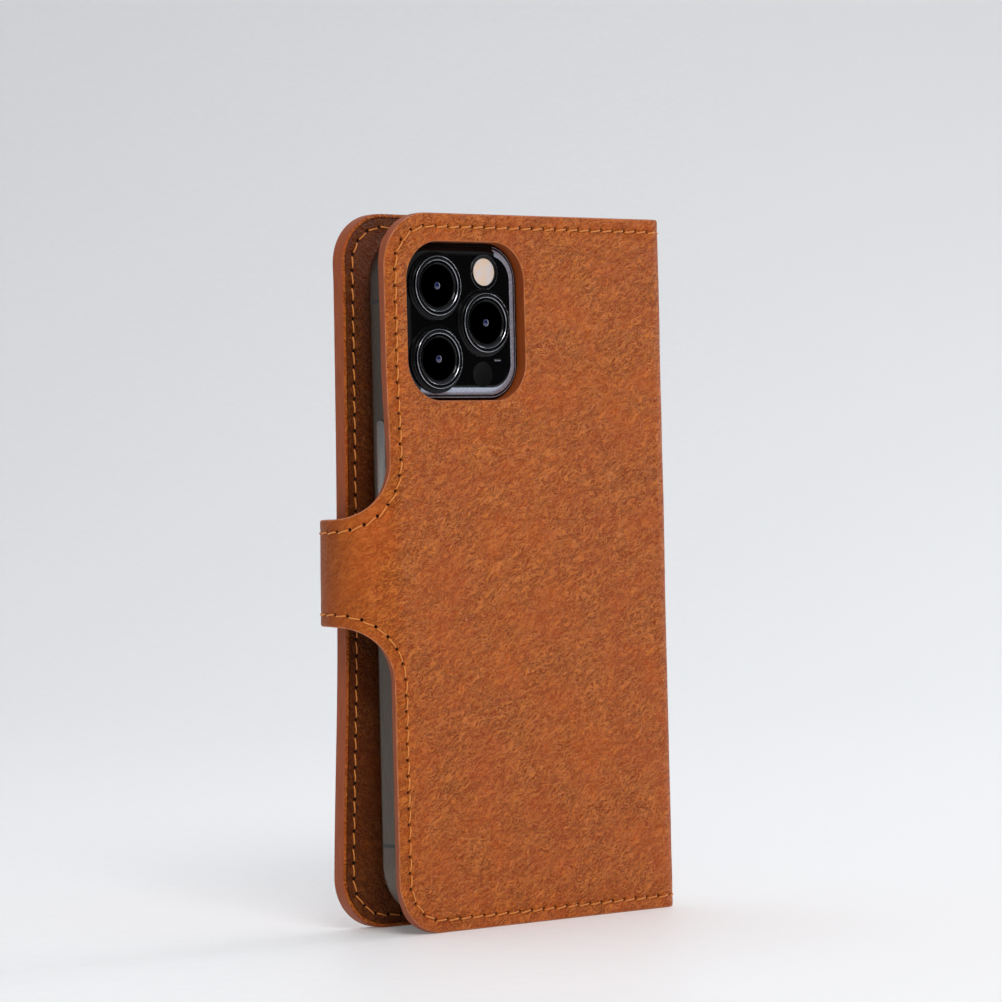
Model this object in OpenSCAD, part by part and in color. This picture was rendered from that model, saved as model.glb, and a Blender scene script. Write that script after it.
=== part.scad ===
// Leather phone wallet case, standing upright, closed, with its strap round the free edge.
// Millimetres. +Z is up, +X points at the spine, +Y points from the back panel to the front cover.

/* [Panels] */
// Height of the back panel and of the front cover
panel_h = 153.7; // [150:0.1:165]
// Width from the free edge to the outer face of the spine
panel_w = 81.15; // [80:0.05:88]
// Corner radius at the free edge
corner_r = 11.5; // [6:0.5:14]
// Depth over the spine, from the back's outer face to the cover's outer face
spine_depth = 16.7; // [16:0.1:20]
// Outer radius of the leather at each spine fold
fold_r = 4; // [3.6:0.1:5]
// Angle by which the closed cover stands open, away from the display
splay = 2.2; // [1.5:0.1:3]

/* [Layers] */
// Outer leather where it is doubled at the rim, board recess included
leather_t = 1.8; // [1.5:0.1:2.2]
// Stiffening board inside the back panel and inside the cover
board_t = 0.6; // [0.4:0.1:0.8]
// Lining of the back panel
lining_t = 0.8; // [0.6:0.1:1]
// Outer leather of the spine
spine_leather_t = 1.3; // [1.1:0.1:1.5]
// Sheet of each pocket in the cover
pocket_t = 0.48; // [0.4:0.02:0.6]
// Width of the glued and sewn rim outside the boards
rim_w = 5; // [4.5:0.5:7]

/* [Strap] */
// Height of the strap
strap_h = 22.7; // [20:0.1:24]
// Thickness of each of the strap's two leathers
strap_layer_t = 1.1; // [0.9:0.1:1.2]
// Outer radius of the strap's loop round the free edge
loop_r = 11; // [10.8:0.1:11.4]
// Distance from the free edge at which the strap starts to leave the panel
loop_start = 3; // [2:0.1:3.4]
// Outer radius where the strap turns on to the cover
over_r = 4; // [3:0.1:5]
// Radius of the concave flares where the strap grows out of the back panel
flare_r = 12; // [10:0.5:12.5]
// Length of the flap that lies on the cover
flap_len = 30; // [26:1:36]

/* [Phone] */
// Width of the phone
phone_w = 71.5; // [70:0.1:72]
// Height of the phone
phone_h = 146.7; // [144:0.1:147]
// Thickness of the phone
phone_t = 7.4; // [7:0.1:7.8]
// Corner radius of the phone
phone_r = 11; // [9:0.5:13]
// Distance from the free edge to the phone
phone_inset = 3.43; // [3:0.01:4]
// Thickness of the suction pad under the phone
pad_t = 0.8; // [0.6:0.1:1]

/* [Camera] */
// Width and height of the camera plateau
plateau_w = 31.7; // [30:0.1:32]
// Centre of the plateau from the free edge
plateau_x = 21.45; // [21.3:0.05:21.6]
// Centre of the plateau from the bottom edge
plateau_z = 130.3; // [129:0.1:131]
// Height of the plateau above the rear glass
plateau_t = 1.3; // [1:0.1:1.5]
// Spacing of the two lenses that stand one above the other
lens_pitch = 15.66; // [15.4:0.02:15.8]
// Outer diameter of a lens ring
lens_d = 12.6; // [12:0.1:13]

/* [Stitching] */
// Distance from the seam to the edge
seam_inset = 2.8; // [2.4:0.1:3.2]
// Distance from one stitch to the next
stitch_pitch = 3.4; // [3:0.1:4]

/* [Hidden] */
$fn = 64;
eps = 0.01;

// Layers, from the back's outer face at y = 0
back_t = leather_t + lining_t;
spine_t = spine_leather_t + lining_t;
strap_t = 2 * strap_layer_t;
phone_y = back_t + pad_t;
cover_y = spine_depth - leather_t;
cash_y = cover_y - pocket_t;

// Fold axes: the point about which a bend of this radius turns without a change of length
fold_flat_x = panel_w - fold_r;
fold_reach = PI / 4 * (fold_r - spine_t / 2);
fold_x = fold_flat_x + fold_reach;
back_fold_y = fold_r - fold_reach;
cover_fold_y = spine_depth - fold_r + fold_reach;
// Panels stop where the rounded edge of the spine would otherwise sweep into them
fold_lip = norm([fold_x - fold_flat_x, back_fold_y]);
panel_end = fold_x - fold_lip - 0.06;

// Strap: it loops round to turn over_at, runs straight on, and turns on to the cover.
// A turn of 0 is in the plane of the back panel, 90 runs away from it and 180 runs back along X
strap_z = panel_h / 2;
flap_gap = 0.15;
over_at = 131;
loop_mid = [loop_start, loop_r];
over_way = [-cos(over_at), sin(over_at)];
over_side = [-sin(over_at), -cos(over_at)];
cover_normal = [sin(splay), cos(splay)];
over_from = loop_mid + (loop_r - over_r) * over_side;
over_len = (cover_normal * ([fold_x, cover_fold_y] - over_from) + spine_depth - cover_fold_y
    + flap_gap + strap_t - over_r) / (cover_normal * over_way);
over_mid = over_from + over_len * over_way;

// Seen from the flap, whose X runs along the cover: where the turn ends and where the loop's middle is
over_turn = 270 - over_at + splay;
over_to_loop = (over_r - loop_r) * [cos(over_turn), sin(over_turn)]
    - over_len * [sin(over_turn), -cos(over_turn)];
arc_steps = 16;
loop_len = loop_r * PI / 2;
flare_end = loop_start + flare_r;
flare_top = strap_h / 2 + flare_r;
flap_end_r = strap_h / 2 - eps;
magnet_w = 16;
magnet_h = 13;
magnet_t = 0.8;
magnet_x = 16;
keeper_w = 20;
keeper_h = 17;

// Camera cut-out in the back panel
hole_x0 = 6;
hole_x1 = 38.8;
hole_z0 = 113.6;
hole_z1 = 147.6;
hole_r = 8.5;
hole_rim = 3;
lining_hole_x0 = 5.2;
pad_hole_gap = 1;

// Pockets: how far each sheet reaches from the free edge
card_open = [68, 60, 52];

// Phone
phone_x = phone_inset;
phone_z = (panel_h - phone_h) / 2;
glass_t = 0.8;
glass_inset = 1.5;
plateau_r = 8;
lens_x = lens_pitch * sqrt(3) / 4;
lens_at = [
    [plateau_x - lens_x, plateau_z + lens_pitch / 2],
    [plateau_x - lens_x, plateau_z - lens_pitch / 2],
    [plateau_x + lens_x, plateau_z],
];
plateau_y = phone_y - plateau_t;
lens_base_r = 7.4;
lens_base_t = 0.5;
lens_h = 1.5;
lens_glass_r = 5.3;
lens_glass_set = 0.3;
disc_t = 0.2;
flash_at = [28.8, 141.3];
flash_r = 2.95;
sensor_at = [27.85, 119.2];
sensor_r = 2.7;
mic_at = [32.2, 122.3];
mic_r = 0.4;

// Phone buttons: z of the middle, length, width, side (-1 free edge, 1 spine edge)
side_button = [101.1, 17, 3.2, -1];
volume_up = [108.5, 10.5, 3.2, 1];
volume_down = [94.5, 10.5, 3.2, 1];
mute_switch = [122.5, 5.6, 2, 1];
// Slot of the switch: longer and wider than the switch, so that it can slide towards the display
mute_travel = 1;
mute_slot = [122.5, 6.6, 3, 1];
button_proud = 0.45;
button_root = 0.9;
button_travel = 0.25;
button_gap = 0.12;
button_y = phone_y + phone_t / 2;
band_z = [16, 130.7];
band_w = 1.1;
band_t = 0.3;

// Stitches
thread_w = 0.55;
thread_t = 0.2;
stitch_len = 2.4;
// Channel that the back panel's thread is sunk in, so that the case lies flat on its back
channel_w = 0.95;
channel_t = 0.25;
// Angle round the flares at which their seams start, clear of the back panel's flat face
flare_seam_a = 6;
spine_stitches = 3;

// The origin lies under the middle of the object
mid_x = (panel_w + loop_start - loop_r) / 2;
mid_y = (over_mid[1] + over_r) / 2;

// ---- Shared shapes ----

// Moves the design to the frame whose origin lies under the middle of the object
module placed() {
    translate([-mid_x, -mid_y, 0]) children();
}

// A sheet from depth y to depth y + t, cut to a flat outline in x and z
module sheet(y, t) {
    translate([0, y + t, 0]) rotate([90, 0, 0]) linear_extrude(t) children();
}

// Outline of a panel whose two corners at the free edge are rounded, inset by a margin
module panel_outline(x1, margin = 0) {
    r = max(corner_r - margin, 1);
    translate([margin + r, margin]) square([x1 - margin - r, panel_h - 2 * margin]);
    translate([margin, margin + r]) square([r + eps, panel_h - 2 * margin - 2 * r]);
    for (z = [margin + r, panel_h - margin - r]) translate([margin + r, z]) circle(r);
}

// Where the strap's root takes the place of the panel
module strap_root_outline() {
    translate([-eps, strap_z - flare_top]) square([loop_start + eps, 2 * flare_top]);
}

// Rectangle with four round corners
module round_rect(x0, x1, z0, z1, r) {
    translate([x0 + r, z0]) square([x1 - x0 - 2 * r, z1 - z0]);
    translate([x0, z0 + r]) square([x1 - x0, z1 - z0 - 2 * r]);
    for (x = [x0 + r, x1 - r], z = [z0 + r, z1 - r]) translate([x, z]) circle(r);
}

// Outline of the camera cut-out, grown by a margin
module hole_outline(grow = 0, x0 = hole_x0) {
    round_rect(x0 - grow, hole_x1 + grow, hole_z0 - grow, hole_z1 + grow, hole_r + grow);
}

// Outline of the phone, inset by a margin
module phone_outline(margin = 0) {
    round_rect(phone_x + margin, phone_x + phone_w - margin,
        phone_z + margin, phone_z + phone_h - margin, phone_r - margin);
}

// Part of an upright ring, from angle a0 to angle a1
module bend(at, r0, r1, a0, a1, z0, h) {
    translate([at[0], at[1], z0]) rotate([0, 0, a0])
        rotate_extrude(angle = a1 - a0) translate([r0, 0]) square([r1 - r0, h]);
}

// Turns the cover and all on it about the fold axis by the splay angle
module splayed() {
    translate([fold_x, cover_fold_y, 0]) rotate([0, 0, -splay])
        translate([-fold_x, -cover_fold_y, 0]) children();
}

// One stitch lying on a face, along a heading in x and z
module stitch(x, y, z, heading) {
    translate([x, y + thread_t / 2, z]) rotate([0, -heading, 0])
        cube([stitch_len, thread_t, thread_w], center = true);
}

// Place and heading on the panel's seam at a distance s from its spine end, along the top
function seam_run(s) =
    let (r = corner_r - seam_inset, run = panel_end - corner_r, turn = r * PI / 2)
    s < run ? [panel_end - s, panel_h - seam_inset, 0]
    : s < run + turn ?
        let (a = 90 + (s - run) / r * 180 / PI)
        [corner_r + r * cos(a), panel_h - corner_r + r * sin(a), a - 90]
    : [seam_inset, panel_h - corner_r - (s - run - turn), 90];

// Seam on one face of a panel, round the three open sides, leaving out the strap's root
module panel_seam(y, gap_h, x_max) {
    half = panel_end - corner_r + (corner_r - seam_inset) * PI / 2 + panel_h / 2 - corner_r;
    count = floor((half - gap_h / 2 - stitch_len / 2) / stitch_pitch - 0.5);
    for (k = [0:count]) {
        p = seam_run((k + 0.5) * stitch_pitch);
        if (p[0] < x_max) {
            stitch(p[0], y, p[1], p[2]);
            stitch(p[0], y, panel_h - p[1], -p[2]);
        }
    }
}

// ---- Back panel ----

module back_leather() {
    color("peru") placed() difference() {
        sheet(0, leather_t) panel_outline(panel_end);
        sheet(leather_t - board_t, board_t + eps) back_board_outline();
        sheet(-eps, leather_t + 2 * eps) hole_outline();
        sheet(-eps, leather_t + 2 * eps) strap_root_outline();
        sheet(-eps, channel_t + eps) channel_outline();
    }
}

// Channel along the panel's seam, leaving out the strap's root
module channel_outline() {
    difference() {
        panel_outline(panel_end + eps, seam_inset - channel_w / 2);
        panel_outline(panel_end + 2 * eps, seam_inset + channel_w / 2);
        translate([0, strap_z - flare_top]) square([corner_r, 2 * flare_top]);
    }
}

module back_board_outline() {
    difference() {
        panel_outline(panel_end - rim_w, rim_w);
        hole_outline(hole_rim);
        translate([0, hole_z0 - hole_rim]) square([hole_x0 + hole_r, panel_h]);
        translate([0, hole_z1 + hole_rim - hole_r]) square([hole_x1, panel_h]);
    }
}

module back_board() {
    color("dimgray") placed() sheet(leather_t - board_t, board_t) back_board_outline();
}

module back_lining() {
    color("sienna") placed() difference() {
        sheet(leather_t, lining_t) panel_outline(panel_end);
        sheet(leather_t - eps, lining_t + 2 * eps) hole_outline(0, lining_hole_x0);
        sheet(leather_t - eps, lining_t + 2 * eps) strap_root_outline();
    }
}

module suction_pad() {
    color("black") placed() sheet(back_t, pad_t) difference() {
        phone_outline(2);
        hole_outline(pad_hole_gap);
        translate([0, hole_z0 - pad_hole_gap]) square([hole_x0 + hole_r, panel_h]);
        translate([0, hole_z1 - hole_r]) square([hole_x1, panel_h]);
    }
}

module back_thread() {
    color("sandybrown") placed() {
        panel_seam(channel_t - thread_t, 2 * flare_top, panel_end - stitch_len);
        panel_seam(back_t, 2 * flare_top, panel_end - stitch_len);
    }
}

// ---- Phone ----

module button_outline(b, grow = 0) {
    r = b[2] / 2 + grow;
    half = (b[1] - b[2]) / 2;
    translate([button_y - r, b[0] - half]) square([2 * r, 2 * half]);
    for (s = [-1, 1]) translate([button_y, b[0] + s * half]) circle(r);
}

// A pill-shaped button or its pocket, from the depth inside the frame to the height above it
module button_solid(b, inside, above, grow = 0) {
    face_x = b[3] < 0 ? phone_x : phone_x + phone_w;
    start_x = b[3] < 0 ? face_x - above : face_x - inside;
    translate([start_x, 0, 0]) rotate([90, 0, 90]) linear_extrude(inside + above)
        button_outline(b, grow);
}

module antenna_solids(grow = 0) {
    for (x = [phone_x - grow, phone_x + phone_w - band_t], z = band_z)
        translate([x, phone_y, phone_z + z - band_w / 2])
            cube([band_t + grow, phone_t, band_w]);
}

module phone_frame() {
    color("slategray") placed() difference() {
        sheet(phone_y, phone_t) phone_outline();
        sheet(phone_y - eps, glass_t + eps) phone_outline(glass_inset);
        sheet(phone_y + phone_t - glass_t, glass_t + eps) phone_outline(glass_inset);
        antenna_solids(eps);
        for (b = [side_button, volume_up, volume_down, mute_slot])
            button_solid(b, button_root + button_travel + button_gap, eps, button_gap);
    }
}

module phone_rear_glass() {
    color("darkslategray") placed() sheet(phone_y, glass_t) phone_outline(glass_inset);
}

module phone_display() {
    color("black") placed() sheet(phone_y + phone_t - glass_t, glass_t) phone_outline(glass_inset);
}

module antenna_bands() {
    color("black") placed() antenna_solids();
}

module camera_plateau() {
    half = plateau_w / 2;
    color("black") placed() sheet(plateau_y, plateau_t) difference() {
        round_rect(plateau_x - half, plateau_x + half, plateau_z - half, plateau_z + half, plateau_r);
        translate(mic_at) circle(mic_r, $fn = 24);
    }
}

// Lens ring: a wide base and a raised rim, bored for its glass
module lens_ring(n) {
    color("gray") placed() {
        sheet(plateau_y - lens_h, lens_h) translate(lens_at[n]) difference() {
            circle(lens_d / 2);
            circle(lens_glass_r);
        }
        sheet(plateau_y - lens_base_t, lens_base_t) translate(lens_at[n]) difference() {
            circle(lens_base_r);
            circle(lens_d / 2);
        }
    }
}

module lens_glass(n) {
    color("midnightblue") placed()
        sheet(plateau_y - lens_h + lens_glass_set, lens_h - lens_glass_set)
            translate(lens_at[n]) circle(lens_glass_r);
}

module camera_flash() {
    color("linen") placed() sheet(plateau_y - disc_t, disc_t) translate(flash_at) circle(flash_r);
}

module depth_sensor() {
    color("black") placed() sheet(plateau_y - disc_t, disc_t) translate(sensor_at) circle(sensor_r);
}

module phone_button(b) {
    color("silver") placed() button_solid(b, button_root, button_proud);
}

// The switch rests at the rear end of its slot
module mute_slider() {
    color("silver") placed() translate([0, -mute_travel / 2, 0])
        button_solid(mute_switch, button_root, button_proud);
}

// ---- Spine ----

// The spine's sheet between two radii of its folds
module spine_sheet(r0, r1) {
    bend([fold_flat_x, fold_r], r0, r1, -90, 0, 0, panel_h);
    translate([fold_flat_x + r0, fold_r, 0]) cube([r1 - r0, spine_depth - 2 * fold_r, panel_h]);
    bend([fold_flat_x, spine_depth - fold_r], r0, r1, 0, 90 - splay, 0, panel_h);
}

module spine_leather() {
    color("peru") placed() spine_sheet(fold_r - spine_leather_t, fold_r);
}

module spine_lining() {
    color("sienna") placed() spine_sheet(fold_r - spine_t, fold_r - spine_leather_t);
}

module spine_thread() {
    color("sandybrown") placed()
        for (k = [0:spine_stitches - 1], z = [seam_inset, panel_h - seam_inset])
            translate([panel_w, spine_depth / 2 + (k - (spine_stitches - 1) / 2) * stitch_pitch, z])
                translate([0, -stitch_len / 2, -thread_w / 2]) cube([thread_t, stitch_len, thread_w]);
}

// ---- Front cover ----

module keeper_outline() {
    translate([magnet_x - keeper_w / 2, strap_z - keeper_h / 2]) square([keeper_w, keeper_h]);
}

module cover_board_outline() {
    panel_outline(panel_end - rim_w, rim_w);
}

module cover_leather() {
    color("peru") placed() splayed() difference() {
        sheet(cover_y, leather_t) panel_outline(panel_end);
        sheet(cover_y - eps, board_t + eps) cover_board_outline();
    }
}

module cover_board() {
    color("dimgray") placed() splayed() sheet(cover_y, board_t) difference() {
        cover_board_outline();
        keeper_outline();
    }
}

module keeper_plate() {
    color("silver") placed() splayed() sheet(cover_y, board_t) keeper_outline();
}

module cash_pocket() {
    color("sienna") placed() splayed() sheet(cash_y, pocket_t) panel_outline(panel_end);
}

// Card pockets 1 to 3: each sheet lies on the last and opens nearer the free edge
module card_pocket(n) {
    color("sienna") placed() splayed()
        sheet(cash_y - n * pocket_t, pocket_t) panel_outline(card_open[n - 1]);
}

module cover_thread() {
    color("sandybrown") placed() splayed() {
        panel_seam(spine_depth, strap_h + 6, panel_end - stitch_len);
        panel_seam(cash_y - 3 * pocket_t - thread_t, 0, card_open[2] - stitch_len);
    }
}

// ---- Strap ----

// Half of the strap's height at a distance s along its outer face, with the flare at its root
function strap_half(s) =
    s <= loop_start ? flare_top
    : s >= flare_end ? strap_h / 2
    : flare_top - sqrt(pow(flare_r, 2) - pow(flare_end - s, 2));

// Depth of the strap's outer face at a distance s along it
function loop_y(s) = loop_r * (1 - cos(s / loop_r * 180 / PI));

// Outline of the strap's side, in y and z
module strap_side_outline() {
    step = flare_r / 16;
    run = [for (s = [loop_start:step:flare_end]) [loop_y(s), strap_half(s)]];
    upper = concat([[-eps, flare_top]], run, [[loop_r + eps, strap_h / 2]]);
    count = len(upper);
    translate([0, strap_z])
        polygon(concat(upper, [for (k = [1:count]) [upper[count - k][0], -upper[count - k][1]]]));
}

// Side of the strap between two radii of its loop
module strap_side(r0, r1) {
    intersection() {
        bend(loop_mid, r0, r1, 180, 270, strap_z - flare_top, 2 * flare_top);
        translate([loop_start - 2 * loop_r, 0, 0]) rotate([90, 0, 90]) linear_extrude(3 * loop_r)
            strap_side_outline();
    }
}

module strap_side_leather() {
    color("peru") placed() strap_side(loop_r - strap_layer_t, loop_r);
}

module strap_side_lining() {
    color("sienna") placed() strap_side(loop_r - strap_t, loop_r - strap_layer_t);
}

// The seam follows the flares, then stops at the end of the side
module strap_side_thread() {
    r = flare_r + seam_inset;
    count = floor(r * PI / 2 / stitch_pitch);
    step = (90 - flare_seam_a) / count;
    color("sandybrown") placed()
        for (k = [0:count - 1], side = [-1, 1]) {
            way = flare_seam_a + (k + 0.5) * step;
            turn = (flare_end - r * cos(way)) / loop_r * 180 / PI;
            translate([loop_mid[0], loop_mid[1], strap_z + side * (flare_top - r * sin(way))])
                rotate([0, 0, -turn]) translate([0, -loop_r - thread_t / 2, 0])
                    rotate([0, side * (way - 90), 0])
                        cube([stitch_len, thread_t, thread_w], center = true);
        }
}

// Turns the flap with the cover that it lies on
module on_cover() {
    translate([over_mid[0], over_mid[1], 0]) rotate([0, 0, -splay]) children();
}

// Outline in x and z of the flap, drawn on past the loop
module flap_outline() {
    translate([-3 * loop_r, strap_z - strap_h / 2])
        square([3 * loop_r + flap_len - flap_end_r, strap_h]);
    translate([flap_len - flap_end_r, strap_z]) circle(flap_end_r);
}

// Points of an arc about a centre, from angle a0 to angle a1
function arc(at, r, a0, a1) = [
    for (k = [0:arc_steps])
        let (a = a0 + (a1 - a0) * k / arc_steps)
        at + r * [cos(a), sin(a)]
];

// Line in x and y at a depth from outside: the flap, the turn, and the far half of the loop
function flap_line(d) = concat(
    [[flap_len, over_r - d]],
    arc([0, 0], over_r - d, 90, over_turn),
    arc(over_to_loop, loop_r - d, over_turn, 180 + splay)
);

// The flap and the far half of the loop between two depths from outside
module strap_flap(d0, d1) {
    inner = flap_line(d1);
    count = len(inner);
    on_cover() intersection() {
        translate([0, 0, strap_z - strap_h]) linear_extrude(2 * strap_h)
            polygon(concat(flap_line(d0), [for (k = [1:count]) inner[count - k]]));
        sheet(over_r - 3 * loop_r, 3 * loop_r + eps) flap_outline();
    }
}

module magnet_outline() {
    translate([magnet_x - magnet_w / 2, strap_z - magnet_h / 2]) square([magnet_w, magnet_h]);
}

module magnet_solid(extra = 0) {
    on_cover() sheet(over_r - strap_layer_t - magnet_t, magnet_t + extra) magnet_outline();
}

module strap_flap_leather() {
    color("peru") placed() strap_flap(0, strap_layer_t);
}

module strap_flap_lining() {
    color("sienna") placed() difference() {
        strap_flap(strap_layer_t, strap_t);
        magnet_solid(eps);
    }
}

module strap_magnet() {
    color("dimgray") placed() magnet_solid();
}

module strap_flap_thread() {
    r = strap_h / 2 - seam_inset;
    run = flap_len - strap_h / 2;
    straight = floor(run / stitch_pitch);
    round_count = floor(r * PI / stitch_pitch);
    color("sandybrown") placed() on_cover() {
        for (k = [0:straight - 1], side = [-1, 1])
            stitch((k + 0.5) * stitch_pitch, over_r, strap_z + side * r, 0);
        for (k = [0:round_count - 1]) {
            a = -90 + (k + 0.5) * 180 / round_count;
            stitch(run + r * cos(a), over_r, strap_z + r * sin(a), a + 90);
        }
    }
}

back_leather();
back_board();
back_lining();
suction_pad();
back_thread();
phone_frame();
phone_rear_glass();
phone_display();
antenna_bands();
camera_plateau();
lens_ring(0);  // lens_ring_1
lens_ring(1);  // lens_ring_2
lens_ring(2);  // lens_ring_3
lens_glass(0);  // lens_glass_1
lens_glass(1);  // lens_glass_2
lens_glass(2);  // lens_glass_3
camera_flash();
depth_sensor();
phone_button(side_button);
phone_button(volume_up);  // volume_up_button
phone_button(volume_down);  // volume_down_button
mute_slider();  // mute_switch
spine_leather();
spine_lining();
spine_thread();
cover_leather();
cover_board();
keeper_plate();
cash_pocket();
card_pocket(1);  // card_pocket_1
card_pocket(2);  // card_pocket_2
card_pocket(3);  // card_pocket_3
cover_thread();
strap_side_leather();
strap_side_lining();
strap_side_thread();
strap_flap_leather();
strap_flap_lining();
strap_magnet();
strap_flap_thread();
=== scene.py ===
import math

import bmesh
import bpy
import numpy as np
from mathutils import Matrix, Vector
from mathutils.geometry import delaunay_2d_cdt

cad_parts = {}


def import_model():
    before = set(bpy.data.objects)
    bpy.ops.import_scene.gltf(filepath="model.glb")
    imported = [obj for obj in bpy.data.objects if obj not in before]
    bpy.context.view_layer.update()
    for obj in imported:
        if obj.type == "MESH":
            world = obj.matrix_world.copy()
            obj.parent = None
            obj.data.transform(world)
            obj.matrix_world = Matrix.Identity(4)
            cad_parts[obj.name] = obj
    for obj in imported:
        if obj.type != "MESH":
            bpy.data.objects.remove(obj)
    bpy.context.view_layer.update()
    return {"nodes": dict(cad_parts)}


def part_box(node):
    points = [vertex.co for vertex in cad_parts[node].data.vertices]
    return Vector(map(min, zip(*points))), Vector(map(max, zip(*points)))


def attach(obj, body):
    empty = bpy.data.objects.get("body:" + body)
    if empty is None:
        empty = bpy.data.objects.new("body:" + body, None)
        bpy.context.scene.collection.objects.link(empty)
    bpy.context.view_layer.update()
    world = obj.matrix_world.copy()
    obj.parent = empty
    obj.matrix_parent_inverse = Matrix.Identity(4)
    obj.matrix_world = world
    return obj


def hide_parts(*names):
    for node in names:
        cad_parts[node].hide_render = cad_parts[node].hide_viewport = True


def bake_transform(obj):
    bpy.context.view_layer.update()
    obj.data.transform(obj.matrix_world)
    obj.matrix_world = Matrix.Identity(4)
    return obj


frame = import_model()

# Leather phone wallet case. Lengths are millimetres unless a comment says otherwise. "Fit" coordinates
# are x from the back panel's free edge, y from its outer face and z from the floor; world() turns them
# to the shared frame. The case is one leather pattern: u runs along the outer face from the strap's tip,
# over the back panel (u is x there), round the spine, to the cover's free edge; z is height; depth goes
# in from the outer face.

# ---- Camera ----
CAM_EYE = (-0.609725, -0.700233, 0.0956)
CAM_YAW, CAM_PITCH, CAM_ROLL = math.radians(41.22), math.radians(0.24), math.radians(-1.33)
CAM_LENS, CAM_SENSOR = 152.3, 36.0


def make_camera():
    level = math.cos(CAM_PITCH)
    ahead = Vector((math.sin(CAM_YAW) * level, math.cos(CAM_YAW) * level, -math.sin(CAM_PITCH)))
    right = Vector((math.cos(CAM_YAW), -math.sin(CAM_YAW), 0.0))
    up = right.cross(ahead)
    cr, sr = math.cos(CAM_ROLL), math.sin(CAM_ROLL)
    right, up = cr * right + sr * up, cr * up - sr * right
    data = bpy.data.cameras.new("camera")
    data.lens, data.sensor_width = CAM_LENS, CAM_SENSOR
    data.clip_start, data.clip_end = 0.05, 50.0
    cam = bpy.data.objects.new("camera", data)
    cam.matrix_world = Matrix((right, up, -ahead)).transposed().to_4x4()
    cam.location = CAM_EYE
    bpy.context.scene.collection.objects.link(cam)
    bpy.context.scene.camera = cam


make_camera()

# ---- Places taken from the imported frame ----


def box_mm(node):
    lo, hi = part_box(node)
    return np.array(lo) * 1000, np.array(hi) * 1000


PANEL_LO, PANEL_HI = box_mm("back_leather")
ORIGIN = PANEL_LO
H = PANEL_HI[2] - PANEL_LO[2]
SPINE_X = box_mm("spine_leather")[1][0] - ORIGIN[0]
LINING_Y = box_mm("back_lining")[1][1] - ORIGIN[1]
FLAP_LO, FLAP_HI = box_mm("strap_flap_leather")
STRAP_H = FLAP_HI[2] - FLAP_LO[2]
ZC = (FLAP_LO[2] + FLAP_HI[2]) / 2
THREAD_W = 0.55
THREAD_SEEN = 0.34
SEAM = box_mm("back_thread")[0][0] - ORIGIN[0] + THREAD_W / 2

# ---- Sizes of the pattern, as in the CAD ----
CORNER_R = 11.5
FOLD_R = 4.0
SPLAY = math.radians(2.2)
SPINE_DEPTH = 16.7
SPINE_T = 2.1
COVER_T = 1.8
POCKET_T = 0.48
POCKET_OPEN = (76.5, 68.0, 60.0, 52.0)
STRAP_T = 2.2
LOOP_START, LOOP_R = 3.0, 11.0
OVER_R, OVER_AT = 4.0, math.radians(131)
FLARE_R = 12.0
FLAP_LEN, FLAP_GAP = 30.0, 0.15
HOLE_X0, HOLE_X1, HOLE_Z0, HOLE_Z1, HOLE_R = 6.0, 38.8, 113.6, 147.6, 8.5
STITCH_PITCH = 3.42

# How the cover and strap sit: the cover is twisted about a height, bowed where the strap holds it,
# flared at its ends and a little taller at its free edge; the strap narrows towards its loop and its
# upper edge rides up; the panel's free edge stands out beside the camera
TWIST, TWIST_Z = -0.0284, 77.0
BOW, BOW_OUT = 0.9, 0.75
FLARE_TOP, FLARE_LOW = 0.7, 1.0
LEAN_X = 76.0
COVER_RISE, RISE_FROM = 0.65, 40.0
STRAP_TAPER, STRAP_RISE, EDGE_SHIFT = 0.034, 0.8, 0.5


def world(p):
    return (np.asarray(p, float) + ORIGIN) * 0.001


def smooth(x, a, b):
    t = np.clip((np.asarray(x, float) - a) / (b - a), 0, 1)
    return t * t * (3 - 2 * t)


# ---- The outer face as a path in x and y ----
FLAT_X = SPINE_X - FOLD_R
REACH = math.pi / 4 * (FOLD_R - SPINE_T / 2)
FOLD_X = FLAT_X + REACH
COVER_FOLD_Y = SPINE_DEPTH - FOLD_R + REACH
NORMAL = np.array([math.sin(SPLAY), math.cos(SPLAY)])
COVER_LINE = NORMAL @ np.array([FOLD_X, COVER_FOLD_Y]) + SPINE_DEPTH - COVER_FOLD_Y
FOLD2_Y = (COVER_LINE - FOLD_R - NORMAL[0] * FLAT_X) / NORMAL[1]


def over_length():
    way = np.array([-math.cos(OVER_AT), math.sin(OVER_AT)])
    side = np.array([-math.sin(OVER_AT), -math.cos(OVER_AT)])
    start = np.array([LOOP_START, LOOP_R]) + (LOOP_R - OVER_R) * side
    return (COVER_LINE + FLAP_GAP + STRAP_T - OVER_R - NORMAL @ start) / (NORMAL @ way)


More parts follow.
